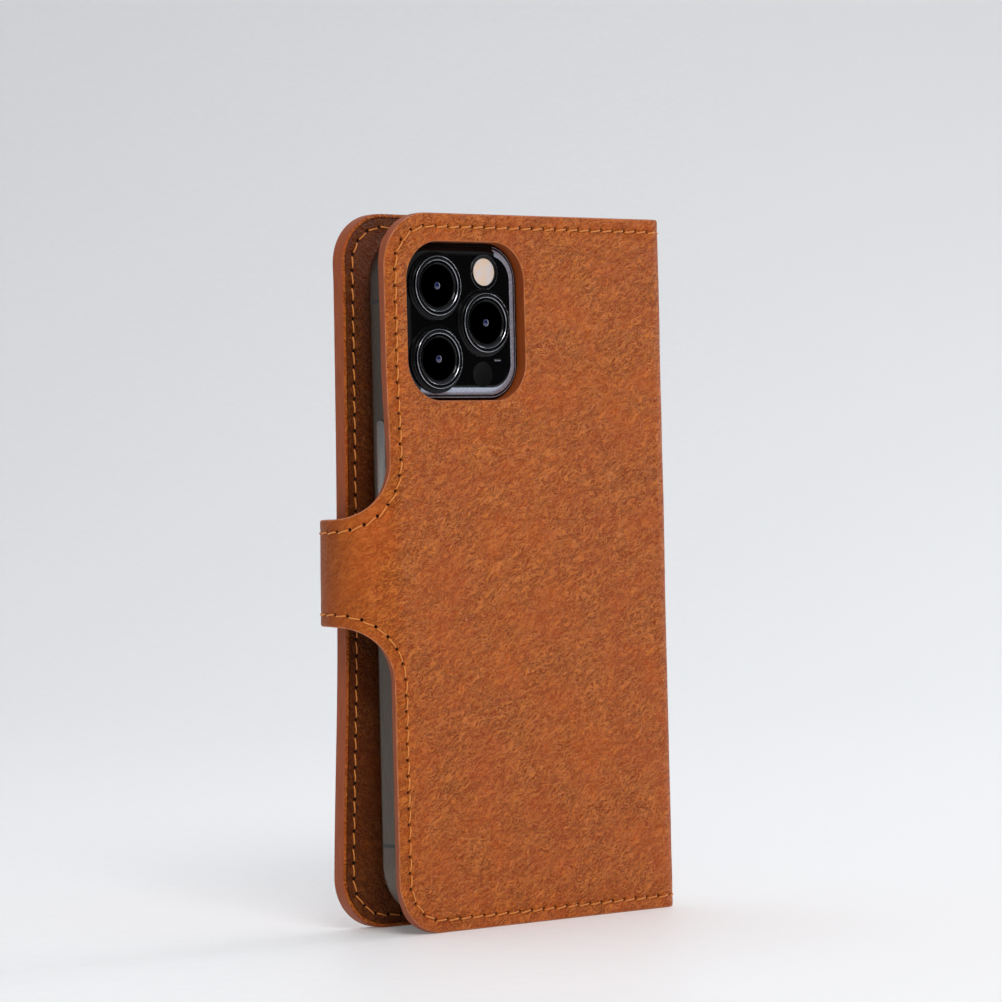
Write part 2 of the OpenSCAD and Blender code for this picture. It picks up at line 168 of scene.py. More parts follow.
def make_path():
    """Rows of u at the start, u at the end, x, y, heading, radius (0 where straight)."""
    rows = []
    u, x, y, h = LOOP_START, LOOP_START, 0.0, 0.0
    for length, r in (
        (LOOP_R * OVER_AT, LOOP_R),
        (over_length(), 0),
        (OVER_R * (math.pi + SPLAY - OVER_AT), OVER_R),
        (FLAP_LEN, 0),
    ):
        h0 = h - (length / r if r else 0)
        if r:
            x, y = x - r * (math.sin(h) - math.sin(h0)), y + r * (math.cos(h) - math.cos(h0))
        else:
            x, y = x - length * math.cos(h), y - length * math.sin(h)
        rows.insert(0, (u - length, u, x, y, h0, r))
        u, h = u - length, h0
    u, x, y, h = LOOP_START, LOOP_START, 0.0, 0.0
    for length, r in (
        (FLAT_X - LOOP_START, 0),
        (FOLD_R * math.pi / 2, FOLD_R),
        (FOLD2_Y - FOLD_R, 0),
        (FOLD_R * (math.pi / 2 - SPLAY), FOLD_R),
        (None, 0),
    ):
        if length is None:
            rel = np.array([x - FOLD_X, y - COVER_FOLD_Y])
            length = FOLD_X + rel @ np.array([math.cos(SPLAY), -math.sin(SPLAY)])
        rows.append((u, u + length, x, y, h, r))
        if r:
            h1 = h + length / r
            x, y = x + r * (math.sin(h1) - math.sin(h)), y - r * (math.cos(h1) - math.cos(h))
            h = h1
        else:
            x, y = x + length * math.cos(h), y + length * math.sin(h)
        u += length
    return np.array(rows)


PATH = make_path()
U_TIP, U_END = PATH[0][0], PATH[-1][1]
U_FLAP, U_OVER, U_LOOP = PATH[0][1], PATH[1][1], PATH[2][1]
U_F1A, U_F1B, U_F2A, U_F2B = PATH[4][1], PATH[5][1], PATH[6][1], PATH[7][1]


def cover_lean(x, z):
    """How far the cover stands out from its plane, from its twist and its bow."""
    s = np.clip((LEAN_X - x) / LEAN_X, 0, 1.2)
    s = s * s / (s + 0.08) * 1.08  # 0 at the spine, 1 at the free edge, and soft where it starts
    bow = BOW_OUT - BOW * (1 - ((z - ZC) / (H / 2)) ** 2)
    flare = FLARE_TOP * smooth(z, 138, 152) + FLARE_LOW * smooth(z, 62, 14)
    return s * (TWIST * (z - TWIST_Z) + bow + flare)


def place(u, z, depth):
    """Shared-frame points, in metres, of points of the pattern."""
    u, z, depth = (np.asarray(a, float) for a in np.broadcast_arrays(u, z, depth))
    off_panel = 1 - smooth(u, 2.0, 14.0)
    up = smooth(z, ZC - 2.0, ZC + 9.0) * (1 - smooth(z, ZC + 22.0, ZC + 42.0)) * off_panel
    out = EDGE_SHIFT * smooth(z, 100.0, 122.0) * off_panel * smooth(u, -8.0, -1.0)
    x, y, h = np.zeros(u.shape), np.zeros(u.shape), np.zeros(u.shape)
    for k, (u0, _, px, py, ph, r) in enumerate(PATH):
        m = (u >= u0) if k else np.ones(u.shape, bool)
        s = u[m] - u0
        if r:
            a = ph + s / r
            x[m], y[m] = px + r * (np.sin(a) - math.sin(ph)), py - r * (np.cos(a) - math.cos(ph))
            h[m] = a
        else:
            x[m], y[m], h[m] = px + s * math.cos(ph), py + s * math.sin(ph), ph
    x, y = x - depth * np.sin(h), y + depth * np.cos(h)
    lean = cover_lean(U_END - u, z) * (u > U_F2A)
    flap_x = np.clip(U_FLAP - u, -60, 40)
    lean = lean + cover_lean(flap_x, z) * (1 - smooth(u, U_OVER - 2, -9.0)) * (u < 0)
    x, y = x + NORMAL[0] * lean, y + NORMAL[1] * lean
    taper = 1 - STRAP_TAPER * (1 - smooth(u, -17.0, -8.0))
    rise = COVER_RISE * smooth(u, U_F2B, U_END) * np.clip((z - RISE_FROM) / (H - RISE_FROM), 0, 1.05)
    return world(np.stack([x - out, y, ZC + (z - ZC) * taper + rise + STRAP_RISE * up], -1))


# ---- Noise for the hand-made surface, from fixed seeds ----


def rolling(u, z, cell, seed):
    grid = np.random.default_rng(seed).uniform(-1, 1, (64, 64))
    p = np.stack([np.asarray(u, float) / cell, np.asarray(z, float) / cell])
    i = np.floor(p).astype(int)
    f = p - i
    f = f * f * (3 - 2 * f)
    a, b = i % 64, (i + 1) % 64
    low = grid[a[0], a[1]] * (1 - f[0]) + grid[b[0], a[1]] * f[0]
    high = grid[a[0], b[1]] * (1 - f[0]) + grid[b[0], b[1]] * f[0]
    return low * (1 - f[1]) + high * f[1]


# ---- Outline of the pattern: base points and inward normals, with the leather on the left ----


def run(points, step):
    """Values from the first of points to the last, through each, spaced about step."""
    out = []
    for a, b, s in zip(points[:-1], points[1:], step):
        n = max(1, int(math.ceil(abs(b - a) / s)))
        out += [a + (b - a) * k / n for k in range(n)]
    return out


def arc(cx, cz, r, a0, a1, outward, step=0.8):
    n = max(4, int(math.ceil(abs(math.radians(a1 - a0)) * r / step)))
    a = np.radians(a0 + (a1 - a0) * np.arange(n) / n)
    way = np.stack([np.cos(a), np.sin(a)], 1)
    return np.array([cx, cz]) + r * way, way if outward else -way


def line(us, zs, normal):
    us, zs = np.broadcast_arrays(np.asarray(us, float), np.asarray(zs, float))
    return np.stack([us, zs], 1), np.tile(np.array(normal, float), (len(us), 1))


def pattern_outline(cut_strap, cut_spine, cut_z):
    """cut_strap and cut_spine are u of the cuts across strap and spine, cut_z the height beside ZC of
    the cuts at the strap's root."""
    R, half = CORNER_R, STRAP_H / 2
    top = [U_END - R, U_F2B, U_F2A, cut_spine, U_F1B, U_F1A, R]
    top_step = [1.0, 0.5, 1.0, 1.0, 0.5, 1.0]
    strap = [-FLARE_R, cut_strap, U_LOOP, U_OVER, U_FLAP, U_TIP + half]
    strap_step = [0.7, 0.7, 0.8, 0.5, 1.0]
    flare = half + FLARE_R
    parts = [
        arc(U_END - R, H - R, R, 0, 90, False),
        line(run(top, top_step), H, (0, -1)),
        arc(R, H - R, R, 90, 180, False),
        line(0, run([H - R, ZC + cut_z, ZC + flare], [1.0, 0.8]), (1, 0)),
        arc(-FLARE_R, ZC + flare, FLARE_R, 0, -90, True, 0.6),
        line(run(strap, strap_step), ZC + half, (0, -1)),
        arc(U_TIP + half, ZC, half, 90, 270, False),
        line(run(strap[::-1], strap_step[::-1]), ZC - half, (0, 1)),
        arc(-FLARE_R, ZC - flare, FLARE_R, 90, 0, True, 0.6),
        line(0, run([ZC - flare, ZC - cut_z, R], [0.8, 1.0]), (1, 0)),
        arc(R, R, R, 180, 270, False),
        line(run(top[::-1], top_step[::-1]), 0, (0, 1)),
        arc(U_END - R, R, R, 270, 360, False),
        line(U_END, run([R, H - R], [1.0]), (-1, 0)),
    ]
    return np.concatenate([p[0] for p in parts]), np.concatenate([p[1] for p in parts])


def rounded_loop(x0, x1, z0, z1, r, step=0.8, into=True):
    """Columns of a rounded rectangle: with into, the leather is inside it; without, it is a hole, gone
    round backwards."""
    parts = []
    corners = [(x1 - r, z1 - r, 0), (x0 + r, z1 - r, 90), (x0 + r, z0 + r, 180), (x1 - r, z0 + r, 270)]
    for k, (cx, cz, a) in enumerate(corners):
        base, normal = arc(cx, cz, r, a, a + 90, False, step)
        parts.append((base, normal))
        nx, nz, _ = corners[(k + 1) % 4]
        way = np.array([math.cos(math.radians(a + 90)), math.sin(math.radians(a + 90))])
        p0, p1 = np.array([cx, cz]) + r * way, np.array([nx, nz]) + r * way
        n = max(1, int(math.ceil(np.linalg.norm(p1 - p0) / 1.0)))
        parts.append((p0 + (p1 - p0) * (np.arange(n) / n)[:, None], np.tile(-way, (n, 1))))
    base, normal = np.concatenate([p[0] for p in parts]), np.concatenate([p[1] for p in parts])
    return (base, normal) if into else (base[::-1], -normal[::-1])


def resample_closed(points, pitch, start):
    """Points along a closed line, equally spaced near pitch, the first at the line's point nearest start."""
    closed = np.vstack([points, points[:1]])
    d = np.concatenate([[0], np.cumsum(np.linalg.norm(np.diff(closed, axis=0), axis=1))])
    n = int(round(d[-1] / pitch))
    s0 = d[np.argmin(np.linalg.norm(points - np.asarray(start), axis=1))]
    s = (s0 + np.arange(n) * d[-1] / n) % d[-1]
    return np.stack([np.interp(s, d, closed[:, k]) for k in (0, 1)], 1)


draft_b, draft_n = pattern_outline(-13.0, 88.0, 24.5)
SEAM_START = (24.7, H - SEAM)
HOLES = resample_closed(draft_b + SEAM * draft_n, STITCH_PITCH, SEAM_START)


def clear_of_holes(values, low, high):
    """The value between low and high that is furthest from all the given ones."""
    tries = np.linspace(low, high, 200)
    return tries[np.argmax(np.abs(tries[:, None] - np.asarray(values)[None]).min(1))]


CUT_STRAP = clear_of_holes(HOLES[(HOLES[:, 0] < -8) & (HOLES[:, 0] > -18)][:, 0], -15.2, -12.5)
CUT_SPINE = clear_of_holes(HOLES[(HOLES[:, 0] > 80) & (HOLES[:, 0] < 96)][:, 0], 86.3, 90.0)
beside = HOLES[(np.abs(HOLES[:, 0] - SEAM) < 0.3) & (np.abs(HOLES[:, 1] - ZC) < 34)]
CUT_Z = clear_of_holes(np.abs(beside[:, 1] - ZC), 24.0, 27.2)
CUT_ROOT_U = 5.4
BASE, INWARD = pattern_outline(CUT_STRAP, CUT_SPINE, CUT_Z)


def nearest(p, q, chunk=1500):
    """Distance and index of the nearest of q for each of p."""
    dist, index = np.empty(len(p)), np.empty(len(p), int)
    for k in range(0, len(p), chunk):
        d = ((p[k : k + chunk, None] - q[None]) ** 2).sum(2)
        index[k : k + chunk] = d.argmin(1)
        dist[k : k + chunk] = np.sqrt(d.min(1))
    return dist, index


def inside(p, loop):
    """Whether each of p is inside a closed polygon."""
    a, b = loop, np.roll(loop, -1, 0)
    out = np.zeros(len(p), bool)
    for k in range(0, len(p), 1500):
        q = p[k : k + 1500, None]
        cross = (a[None, :, 1] > q[..., 1]) != (b[None, :, 1] > q[..., 1])
        with np.errstate(divide="ignore", invalid="ignore"):
            at = a[None, :, 0] + (q[..., 1] - a[None, :, 1]) / (b - a)[None, :, 1] * (b - a)[None, :, 0]
        out[k : k + 1500] = (cross & (q[..., 0] < at)).sum(1) % 2 == 1
    return out


# ---- Sheets of leather ----
# Rows down an edge, from the outer face to the inner: inset, share of the thickness, depth added
EDGE = (
    (0.55, 0, 0.01),
    (0.33, 0, 0.035),
    (0.19, 0, 0.085),
    (0.09, 0, 0.17),
    (0.02, 0, 0.29),
    (0.0, 0, 0.42),
    (-0.03, 0.5, 0),
    (0.0, 1, -0.36),
    (0.05, 1, -0.18),
    (0.16, 1, -0.07),
    (0.33, 1, -0.03),
    (0.55, 1, -0.01),
)
THIN_EDGE = ((0.06, 0, 0.01), (0.01, 0, 0.05), (0.0, 0.5, 0), (0.01, 1, -0.05), (0.06, 1, -0.01))
E0 = 0.9
E1 = 1.0
RING, PIT = 0.46, 0.27


def sheet(loops, thickness, outer, inner, us, z_step, rings, lines=(), rows=EDGE, e0=E0, seam_rows=()):
    """A sheet in pattern coordinates. loops are (base, inward) columns, the outline first and then any
    holes; rings are the stitch holes. thickness(u, z), outer(p, e, r) and inner(p, e, r) give depths; e is
    the distance from the edge and r from a stitch hole. Returns vertices (u, z, depth), faces, and
    per-vertex attributes."""
    pts, edges = [], []

    def add(points, closed=True, join=True):
        first = len(pts)
        pts.extend(map(tuple, points))
        n = len(points)
        if join:
            edges.extend((first + k, first + (k + 1) % n) for k in range(n if closed else n - 1))
        return np.arange(first, first + n)

    loop_ids = [add(b + e0 * n) for b, n in loops]
    add(loops[0][0] + (e0 + E1 - E0) * loops[0][1])
    keep_off = [np.array(pts)]
    for a, b in lines:
        a, b = np.array(a, float), np.array(b, float)
        have = np.array(pts)
        ends = []
        for p in (a, b):
            d, i = nearest(p[None], have)
            ends.append(i[0] if d[0] < 0.05 else add([p], join=False)[0])
        n = max(2, int(np.linalg.norm(b - a) / 1.0))
        mid = add(a + (b - a) * (np.arange(1, n) / n)[:, None], join=False)
        chain = [ends[0], *mid, ends[1]]
        edges.extend(zip(chain[:-1], chain[1:]))
        keep_off.append(np.array(pts)[mid])
    a = np.radians(np.arange(10) * 36.0)
    way = np.stack([np.cos(a), np.sin(a)], 1)
    for c in rings:
        add(c + RING * way)
        add(c + PIT * way[::2])
        add([c], join=False)
    base, inward = loops[0]
    outline = base + e0 * inward
    for e in seam_rows:
        row = resample_closed(base + e * inward, STITCH_PITCH / 4, base[0])
        ok = nearest(row, np.concatenate(keep_off))[0] > 0.35
        ok &= nearest(row, rings)[0] > RING + 0.3
        add(row[ok], join=False)
        keep_off.append(row[ok])
    off = np.concatenate(keep_off)
    grid = []
    for k, u in enumerate(us):
        zs = np.arange(base[:, 1].min(), base[:, 1].max(), z_step) + (z_step / 2 if k % 2 else 0)
        grid.append(np.stack([np.full(len(zs), u), zs], 1))
    grid = np.concatenate(grid)
    grid = grid[inside(grid, outline)]
    for b, n in loops[1:]:
        grid = grid[~inside(grid, b + e0 * n)]
    grid = grid[nearest(grid, off)[0] > 0.5]
    grid = grid[nearest(grid, rings)[0] > RING + 0.45]
    add(grid, join=False)
    pairs = [tuple(map(int, e)) for e in edges]
    found = delaunay_2d_cdt([Vector(p) for p in pts], pairs, [], 0, 1e-6)
    p2 = np.array([tuple(v) for v in found[0]])
    where = {}
    for new, olds in enumerate(found[3]):
        for old in olds:
            where[old] = new
    loop_ids = [np.array([where[int(i)] for i in ids]) for ids in loop_ids]
    tris = np.array(found[2], int)
    mid = p2[tris].mean(1)
    ok = inside(mid, outline)
    for b, n in loops[1:]:
        ok &= ~inside(mid, b + e0 * n)
    tris = tris[ok]
    a, b, c = (p2[tris[:, k]] for k in range(3))
    area = (b[:, 0] - a[:, 0]) * (c[:, 1] - a[:, 1]) - (b[:, 1] - a[:, 1]) * (c[:, 0] - a[:, 0])
    tris[area < 0] = tris[area < 0][:, ::-1]
    _, near = nearest(p2, base)
    e = ((p2 - base[near]) * inward[near]).sum(1)
    r = nearest(p2, rings)[0]
    n = len(p2)
    top = np.column_stack([p2, outer(p2, e, r)])
    low = np.column_stack([p2, inner(p2, e, r)])
    verts = [top, low]
    # dark marks the stitch holes, which the leather paints near-black: painted shade in the holes
    dark = (r < RING * 0.8).astype(float)
    attrs = {key: [np.zeros(2 * n)] for key in ("paint", "raw", "rim")}
    attrs["dark"] = [dark, dark]
    quads, ends = [], {}
    count = 2 * n
    thick = len(rows) > len(THIN_EDGE)
    for which, ((b, nrm), ids) in enumerate(zip(loops, loop_ids)):
        m, prev = len(b), ids
        t = thickness(b[:, 0], b[:, 1])
        chain = [ids]
        for inset, share, extra in rows:
            p = b + inset * nrm
            depth = share * t + extra + top[ids, 2] * (1 - share)
            verts.append(np.column_stack([p, depth]))
            paint = np.full(m, float(inset < (0.12 if thick else 0.05)))
            attrs["paint"].append(paint)
            # rim marks the rows where the outer face turns down into the edge; the leather paints a highlight
            # line on them
            attrs["rim"].append(np.full(m, float(thick and not share and 0.05 < inset < 0.3)))
            attrs["raw"].append(paint * (1.0 if which else 0.0))
            attrs["dark"].append(np.zeros(m))
            cur = np.arange(count, count + m)
            count += m
            quads.append(np.column_stack([prev, cur, np.roll(cur, -1), np.roll(prev, -1)]))
            prev = cur
            chain.append(cur)
        cur = ids + n
        quads.append(np.column_stack([prev, cur, np.roll(cur, -1), np.roll(prev, -1)]))
        chain.append(cur)
        if which == 0:
            ends = {int(ids[j]): [int(row[j]) for row in chain] for j in range(m)}
    verts = np.concatenate(verts)
    return {
        "verts": verts,
        "tris": np.concatenate([tris, tris[:, ::-1] + n]),
        "quads": np.concatenate(quads),
        "attrs": {k: np.concatenate(v) for k, v in attrs.items()},
        "ends": ends,
        "hole_edge": {int(i) for ids in loop_ids[1:] for i in ids},
        "n": n,
    }


def vertex_normals(co, tris, quads):
    faces = np.concatenate([tris, quads[:, [0, 1, 2]], quads[:, [0, 2, 3]]])
    a, b, c = (co[faces[:, k]] for k in range(3))
    normal = np.cross(b - a, c - a)
    out = np.zeros_like(co)
    for k in range(3):
        np.add.at(out, faces[:, k], normal)
    return out / np.maximum(np.linalg.norm(out, axis=1), 1e-12)[:, None]


def add_mesh(name, co, faces, attrs=None, corner_normals=None, material=None):
    """A mesh object from points in metres. attrs are per-vertex floats, or rows of three."""
    mesh = bpy.data.meshes.new(name)
    mesh.from_pydata([tuple(p) for p in co], [], [tuple(int(i) for i in f) for f in faces])
    for key, values in (attrs or {}).items():
        values = np.asarray(values, float)
        kind = "FLOAT" if values.ndim == 1 else "FLOAT_VECTOR"
        layer = mesh.attributes.new(key, kind, "POINT")
        layer.data.foreach_set("value" if kind == "FLOAT" else "vector", values.astype(np.float32).ravel())
    mesh.shade_smooth()
    if corner_normals is not None:
        mesh.normals_split_custom_set([tuple(v) for v in corner_normals])
    obj = bpy.data.objects.new(name, mesh)
    bpy.context.scene.collection.objects.link(obj)
    if material is not None:
        mesh.materials.append(material)
    return obj


def split_sheet(data, regions, names, material):
    """Makes one closed object for each region of a sheet. regions(u, z) numbers a point's region."""
    pat = data["verts"]
    co = place(pat[:, 0], pat[:, 1], pat[:, 2])
    normals = vertex_normals(co, data["tris"], data["quads"])
    tri_r = regions(*pat[data["tris"]].mean(1)[:, :2].T)
    quad_r = regions(*pat[data["quads"]].mean(1)[:, :2].T)
    n, out = data["n"], []
    for k, name in enumerate(names):
        tris, quads = data["tris"][tri_r == k], data["quads"][quad_r == k]
        top = tris[(tris < n).all(1)]
        e = np.concatenate([top[:, [0, 1]], top[:, [1, 2]], top[:, [2, 0]]])
        have = set(map(tuple, e.tolist()))
        caps, rim, ids = [], {}, data["ends"]
        for a, b in have:
            if (b, a) in have or (a in data["hole_edge"] and b in data["hole_edge"]):
                continue
            # an edge of the pattern has its rounded rows: its columns follow on, or are last and first
            if a in ids and b in ids and (ids[a][1] + 1 == ids[b][1] or ids[a][1] - ids[b][1] > 50):
                continue
            caps.append((b, a, a + n, b + n))
            rim[a] = rim.get(a, 0) + 1
            rim[b] = rim.get(b, 0) - 1
        for v, turn in rim.items():
            if turn and v in ids:
                caps.append(tuple(ids[v]) if turn > 0 else tuple(ids[v][::-1]))
        faces = [tuple(f) for f in tris.tolist()] + [tuple(f) for f in quads.tolist()]
        skin = len(faces)
        faces += caps
        used = np.unique(np.concatenate([np.array(f) for f in faces]))
        index = np.full(len(pat), -1)
        index[used] = np.arange(len(used))
        faces = [tuple(index[list(f)]) for f in faces]
        points = co[used]
        corner = []
        for j, f in enumerate(faces):
            if j < skin:
                corner.extend(normals[used[list(f)]])
            else:
                q = points[list(f)]
                flat = np.cross(q[1] - q[0], q[2] - q[0]) + np.cross(q[2] - q[0], q[-1] - q[0])
                corner.extend([flat / max(np.linalg.norm(flat), 1e-15)] * len(f))
        attrs = {key: v[used] for key, v in data["attrs"].items()}
        attrs["pattern"] = pat[used]
        out.append(add_mesh(name, points, faces, attrs, corner, material))
    return out


# ---- Materials ----


class Shader:
    """A node material put together with short calls."""

    def __init__(self, name, **principled):
        self.mat = bpy.data.materials.new(name)
        self.mat.use_nodes = True
        self.tree = self.mat.node_tree
        self.shader = self.tree.nodes["Principled BSDF"]
        for key, value in principled.items():
            self.set(key.replace("_", " "), value)

    def set(self, key, value):
        socket = self.shader.inputs[key]
        if isinstance(value, bpy.types.NodeSocket):
            self.tree.links.new(value, socket)
        else:
            socket.default_value = value

    def node(self, kind, inputs=None, out=0, **props):
        n = self.tree.nodes.new(kind)
        for key, value in props.items():
            setattr(n, key, value)
        for key, value in (inputs or {}).items():
            if isinstance(value, bpy.types.NodeSocket):
                self.tree.links.new(value, n.inputs[key])
            else:
                n.inputs[key].default_value = value
        return n.outputs[out]

    def attribute(self, name, vector=False):
        n = self.tree.nodes.new("ShaderNodeAttribute")
        n.attribute_name = name
        return n.outputs["Vector" if vector else "Fac"]

    def math(self, op, a, b=0.0, c=0.0):
        return self.node("ShaderNodeMath", {0: a, 1: b, 2: c}, operation=op)

    def ramp(self, value, low, high, to_low=0.0, to_high=1.0):
        ends = {"From Min": low, "From Max": high, "To Min": to_low, "To Max": to_high}
        return self.node("ShaderNodeMapRange", {"Value": value, **ends}, interpolation_type="SMOOTHSTEP")

    def mix(self, factor, a, b):
        n = self.tree.nodes.new("ShaderNodeMix")
        n.data_type = "RGBA"
        for key, value in ((0, factor), (6, a), (7, b)):
            if isinstance(value, bpy.types.NodeSocket):
                self.tree.links.new(value, n.inputs[key])
            else:
                n.inputs[key].default_value = value
        return n.outputs[2]

    def noise(self, vector, scale, detail=2.0, rough=0.5, out=0):
        inputs = {"Vector": vector, "Scale": scale, "Detail": detail, "Roughness": rough}
        return self.node("ShaderNodeTexNoise", inputs, out)

    def turned(self, vector, angle, stretch):
        """The vector turned by an angle in degrees, with what it draws stretched along its axes."""
        inputs = {"Vector": vector, "Rotation": (0, 0, math.radians(angle)), "Scale": stretch}
        return self.node("ShaderNodeMapping", inputs, vector_type="TEXTURE")

    def cells(self, vector, scale, feature="DISTANCE_TO_EDGE"):
        return self.node("ShaderNodeTexVoronoi", {"Vector": vector, "Scale": scale}, feature=feature)

    def bump(self, height, distance, strength=1.0):
        return self.node("ShaderNodeBump", {"Height": height, "Distance": distance, "Strength": strength})

    def dot(self, vector, way):
        return self.node("ShaderNodeVectorMath", {0: vector, 1: way}, out=1, operation="DOT_PRODUCT")

    def place(self):
        """Where a point is on its own object, in metres."""
        return self.node("ShaderNodeTexCoord", out=3)


def rgb(r, g, b):
    """A colour given as it looks on screen, 0 to 255, as the linear value that the shader takes."""
    linear = [c / 255 / 12.92 if c <= 10 else ((c / 255 + 0.055) / 1.055) ** 2.4 for c in (r, g, b)]
    return (*linear, 1.0)


def scaled(colour, by):
    return tuple(c * by for c in colour[:3]) + (1.0,)


GRAIN_ANGLE = 30.0
LEATHER_RED = rgb(178, 75, 17)
LEATHER_TAN = rgb(192, 84, 8)
LEATHER_YELLOW = rgb(184, 90, 10)
LEATHER_DARK = rgb(102, 34, 5)
LEATHER_LINE = rgb(222, 126, 48)
EDGE_PAINT = rgb(158, 80, 44)
# pale colour of the painted highlight along the rim
PAINTED_RIM_HIGHLIGHT = rgb(214, 136, 92)
RAW_EDGE = rgb(150, 70, 22)
# near-black painted shade for the stitch holes
STITCH_HOLE_SHADE = rgb(10, 6, 4)
# Families of stretch lines: angle from the grain, scale, stretch, half width, strength
LINE_FAMILIES = ((0.0, 0.48, 4.4, 0.036, 1.0), (10.0, 1.1, 3.4, 0.06, 0.9), (-16.0, 0.75, 3.6, 0.042, 0.95))
GRAIN_DEPTH = 0.0003  # metres


def leather(name, painted_shade=1.0, inside=0.0):
    """Full-grain leather: fine dark pits between pale stretch lines that run up to the right. Its second
    argument darkens all of it and its third mixes in the dark leather colour: both are painted shade, for
    a sheet that lies where the light doesn't reach."""
    s = Shader(name, Roughness=0.5)
    s.set("Specular IOR Level", 0.23)
    p = s.attribute("pattern", vector=True)
    # q is p pushed about by noise, so that the grain doesn't run straight
    centred = {0: s.noise(p, 0.35, 2.0, out=1), 1: (0.5, 0.5, 0.5)}
    warp = s.node("ShaderNodeVectorMath", centred, operation="SUBTRACT")
    warp = s.node("ShaderNodeVectorMath", {0: warp, "Scale": 2.4}, operation="SCALE")
    q = s.node("ShaderNodeVectorMath", {0: p, 1: warp}, operation="ADD")
    broad = s.noise(p, 0.04, 2.0)
    patch = s.noise(p, 0.10, 3.0)
    u = s.node("ShaderNodeSeparateXYZ", {0: p})
    calm = s.ramp(u, -10.0, 4.0, 0.55, 1.0)
    amount = s.math("MULTIPLY", s.ramp(patch, 0.3, 0.7, 0.7, 1.25), calm)
    # pits in two sizes, and specks
    pit_a = s.ramp(s.cells(s.turned(q, GRAIN_ANGLE, (1.7, 1.0, 1.0)), 2.3, "F1"), 0.12, 0.60, 1.0, 0.0)
    pit_b = s.ramp(s.cells(q, 3.6, "F1"), 0.1, 0.6, 0.75, 0.0)
    clump = s.ramp(s.noise(q, 0.55, 2.0), 0.3, 0.6, 0.5, 1.0)
    speck = s.ramp(s.noise(q, 3.1, 1.0), 0.49, 0.68, 0.0, 0.4)
    pits = s.math("MAXIMUM", s.math("MULTIPLY", s.math("MAXIMUM", pit_a, pit_b), clump), speck)
    # pale lines: ridges of stretched noise, long and short, each with a dark crease along one side, painted
    # shade that gives the line relief
    lines = s.ramp(s.cells(s.turned(q, GRAIN_ANGLE, (2.0, 1.0, 1.0)), 1.5), 0.0, 0.15, 0.5, 0.0)
    for turn, scale, stretch, width, strength in LINE_FAMILIES:
        wave = s.noise(s.turned(q, GRAIN_ANGLE + turn, (stretch, 1.0, 1.0)), scale, 2.0, 0.55)
        crease = s.math("ABSOLUTE", s.math("SUBTRACT", wave, 0.5 + 1.8 * width))
        pits = s.math("MAXIMUM", pits, s.ramp(crease, 0.0, width, 0.8 * strength, 0.0))
        ridge = s.math("ABSOLUTE", s.math("SUBTRACT", wave, 0.5))
        lines = s.math("MAXIMUM", lines, s.ramp(ridge, 0.0, width, strength, 0.0))
    pits = s.math("MULTIPLY", pits, amount)
    lines = s.math("MULTIPLY", lines, amount)
    height = s.math("MULTIPLY_ADD", lines, 0.6, s.math("MULTIPLY", pits, -0.6))
    colour = s.mix(s.ramp(broad, 0.35, 0.65), LEATHER_RED, LEATHER_TAN)
    colour = s.mix(s.ramp(patch, 0.35, 0.7, 0.0, 0.35), colour, LEATHER_YELLOW)
    colour = s.mix(s.ramp(u, -2.0, -13.0, 0.0, 0.8), colour, LEATHER_YELLOW)
    # pits darken the colour; they also carry the dark creases beside the pale lines, which are painted shade
    colour = s.mix(s.math("MINIMUM", s.math("MULTIPLY", pits, 0.66), 0.8), colour, LEATHER_DARK)
    colour = s.mix(s.math("MINIMUM", s.math("MULTIPLY", lines, 0.78), 0.85), colour, LEATHER_LINE)
    # the strap is darkened towards its far end, where it turns away from the light, and a whole sheet by the
    # third argument: both are painted shade
    strap_end_shade = s.ramp(u, -3.0, -17.0, 0.0, 0.42)
    colour = s.mix(s.math("MAXIMUM", strap_end_shade, inside), colour, LEATHER_DARK)
    # painted edge, with a pale line along its rim that is a painted highlight
    wobble = s.math("MULTIPLY_ADD", s.noise(p, 1.4, 2.0), 0.3, -0.15)
    paint = s.ramp(s.math("ADD", s.attribute("paint"), wobble), 0.35, 0.6)
    streak = s.noise(s.turned(p, 0, (5.0, 5.0, 0.5)), 1.0, 3.0)
    edge = s.mix(s.attribute("raw"), EDGE_PAINT, RAW_EDGE)
    edge = s.mix(s.ramp(streak, 0.3, 0.75, 0.0, 0.35), edge, LEATHER_DARK)
    colour = s.mix(paint, colour, edge)
    rim = s.math("MULTIPLY", s.attribute("rim"), s.ramp(s.noise(p, 0.3, 3.0), 0.3, 0.6, 0.25, 0.75))
    colour = s.mix(rim, colour, PAINTED_RIM_HIGHLIGHT)
    height = s.math("MULTIPLY", height, s.math("MULTIPLY_ADD", paint, -0.92, 1.0))
    # stitch holes painted near-black: painted shade
    colour = s.mix(s.attribute("dark"), colour, STITCH_HOLE_SHADE)
    # the whole sheet darkened towards black by the second argument: painted shade
    colour = s.mix(1.0 - painted_shade, colour, (0.0, 0.0, 0.0, 1.0))
    s.set("Base Color", colour)
    s.set("Roughness", s.ramp(height, -0.5, 0.4, 0.62, 0.42))
    tiny = s.noise(p, 6.0, 2.0)
    s.set("Normal", s.bump(s.math("MULTIPLY_ADD", tiny, 0.1, height), GRAIN_DEPTH))
    return s.mat


def thread_material():
    s = Shader("thread", Roughness=0.55)
    s.set("Sheen Weight", 0.15)
    strand = s.attribute("strand", vector=True)
    along, around = (s.node("ShaderNodeSeparateXYZ", {0: strand}, out=k) for k in (0, 1))
    phase = s.math("MULTIPLY_ADD", along, 11.0, s.math("MULTIPLY", around, 2 * math.pi * 2))
    twist = s.math("MULTIPLY_ADD", s.math("SINE", phase), 0.5, 0.5)
    colour = s.mix(twist, rgb(206, 112, 30), rgb(248, 160, 66))
    s.set("Base Color", colour)
    s.set("Normal", s.bump(twist, 0.00006, 0.8))
    return s.mat


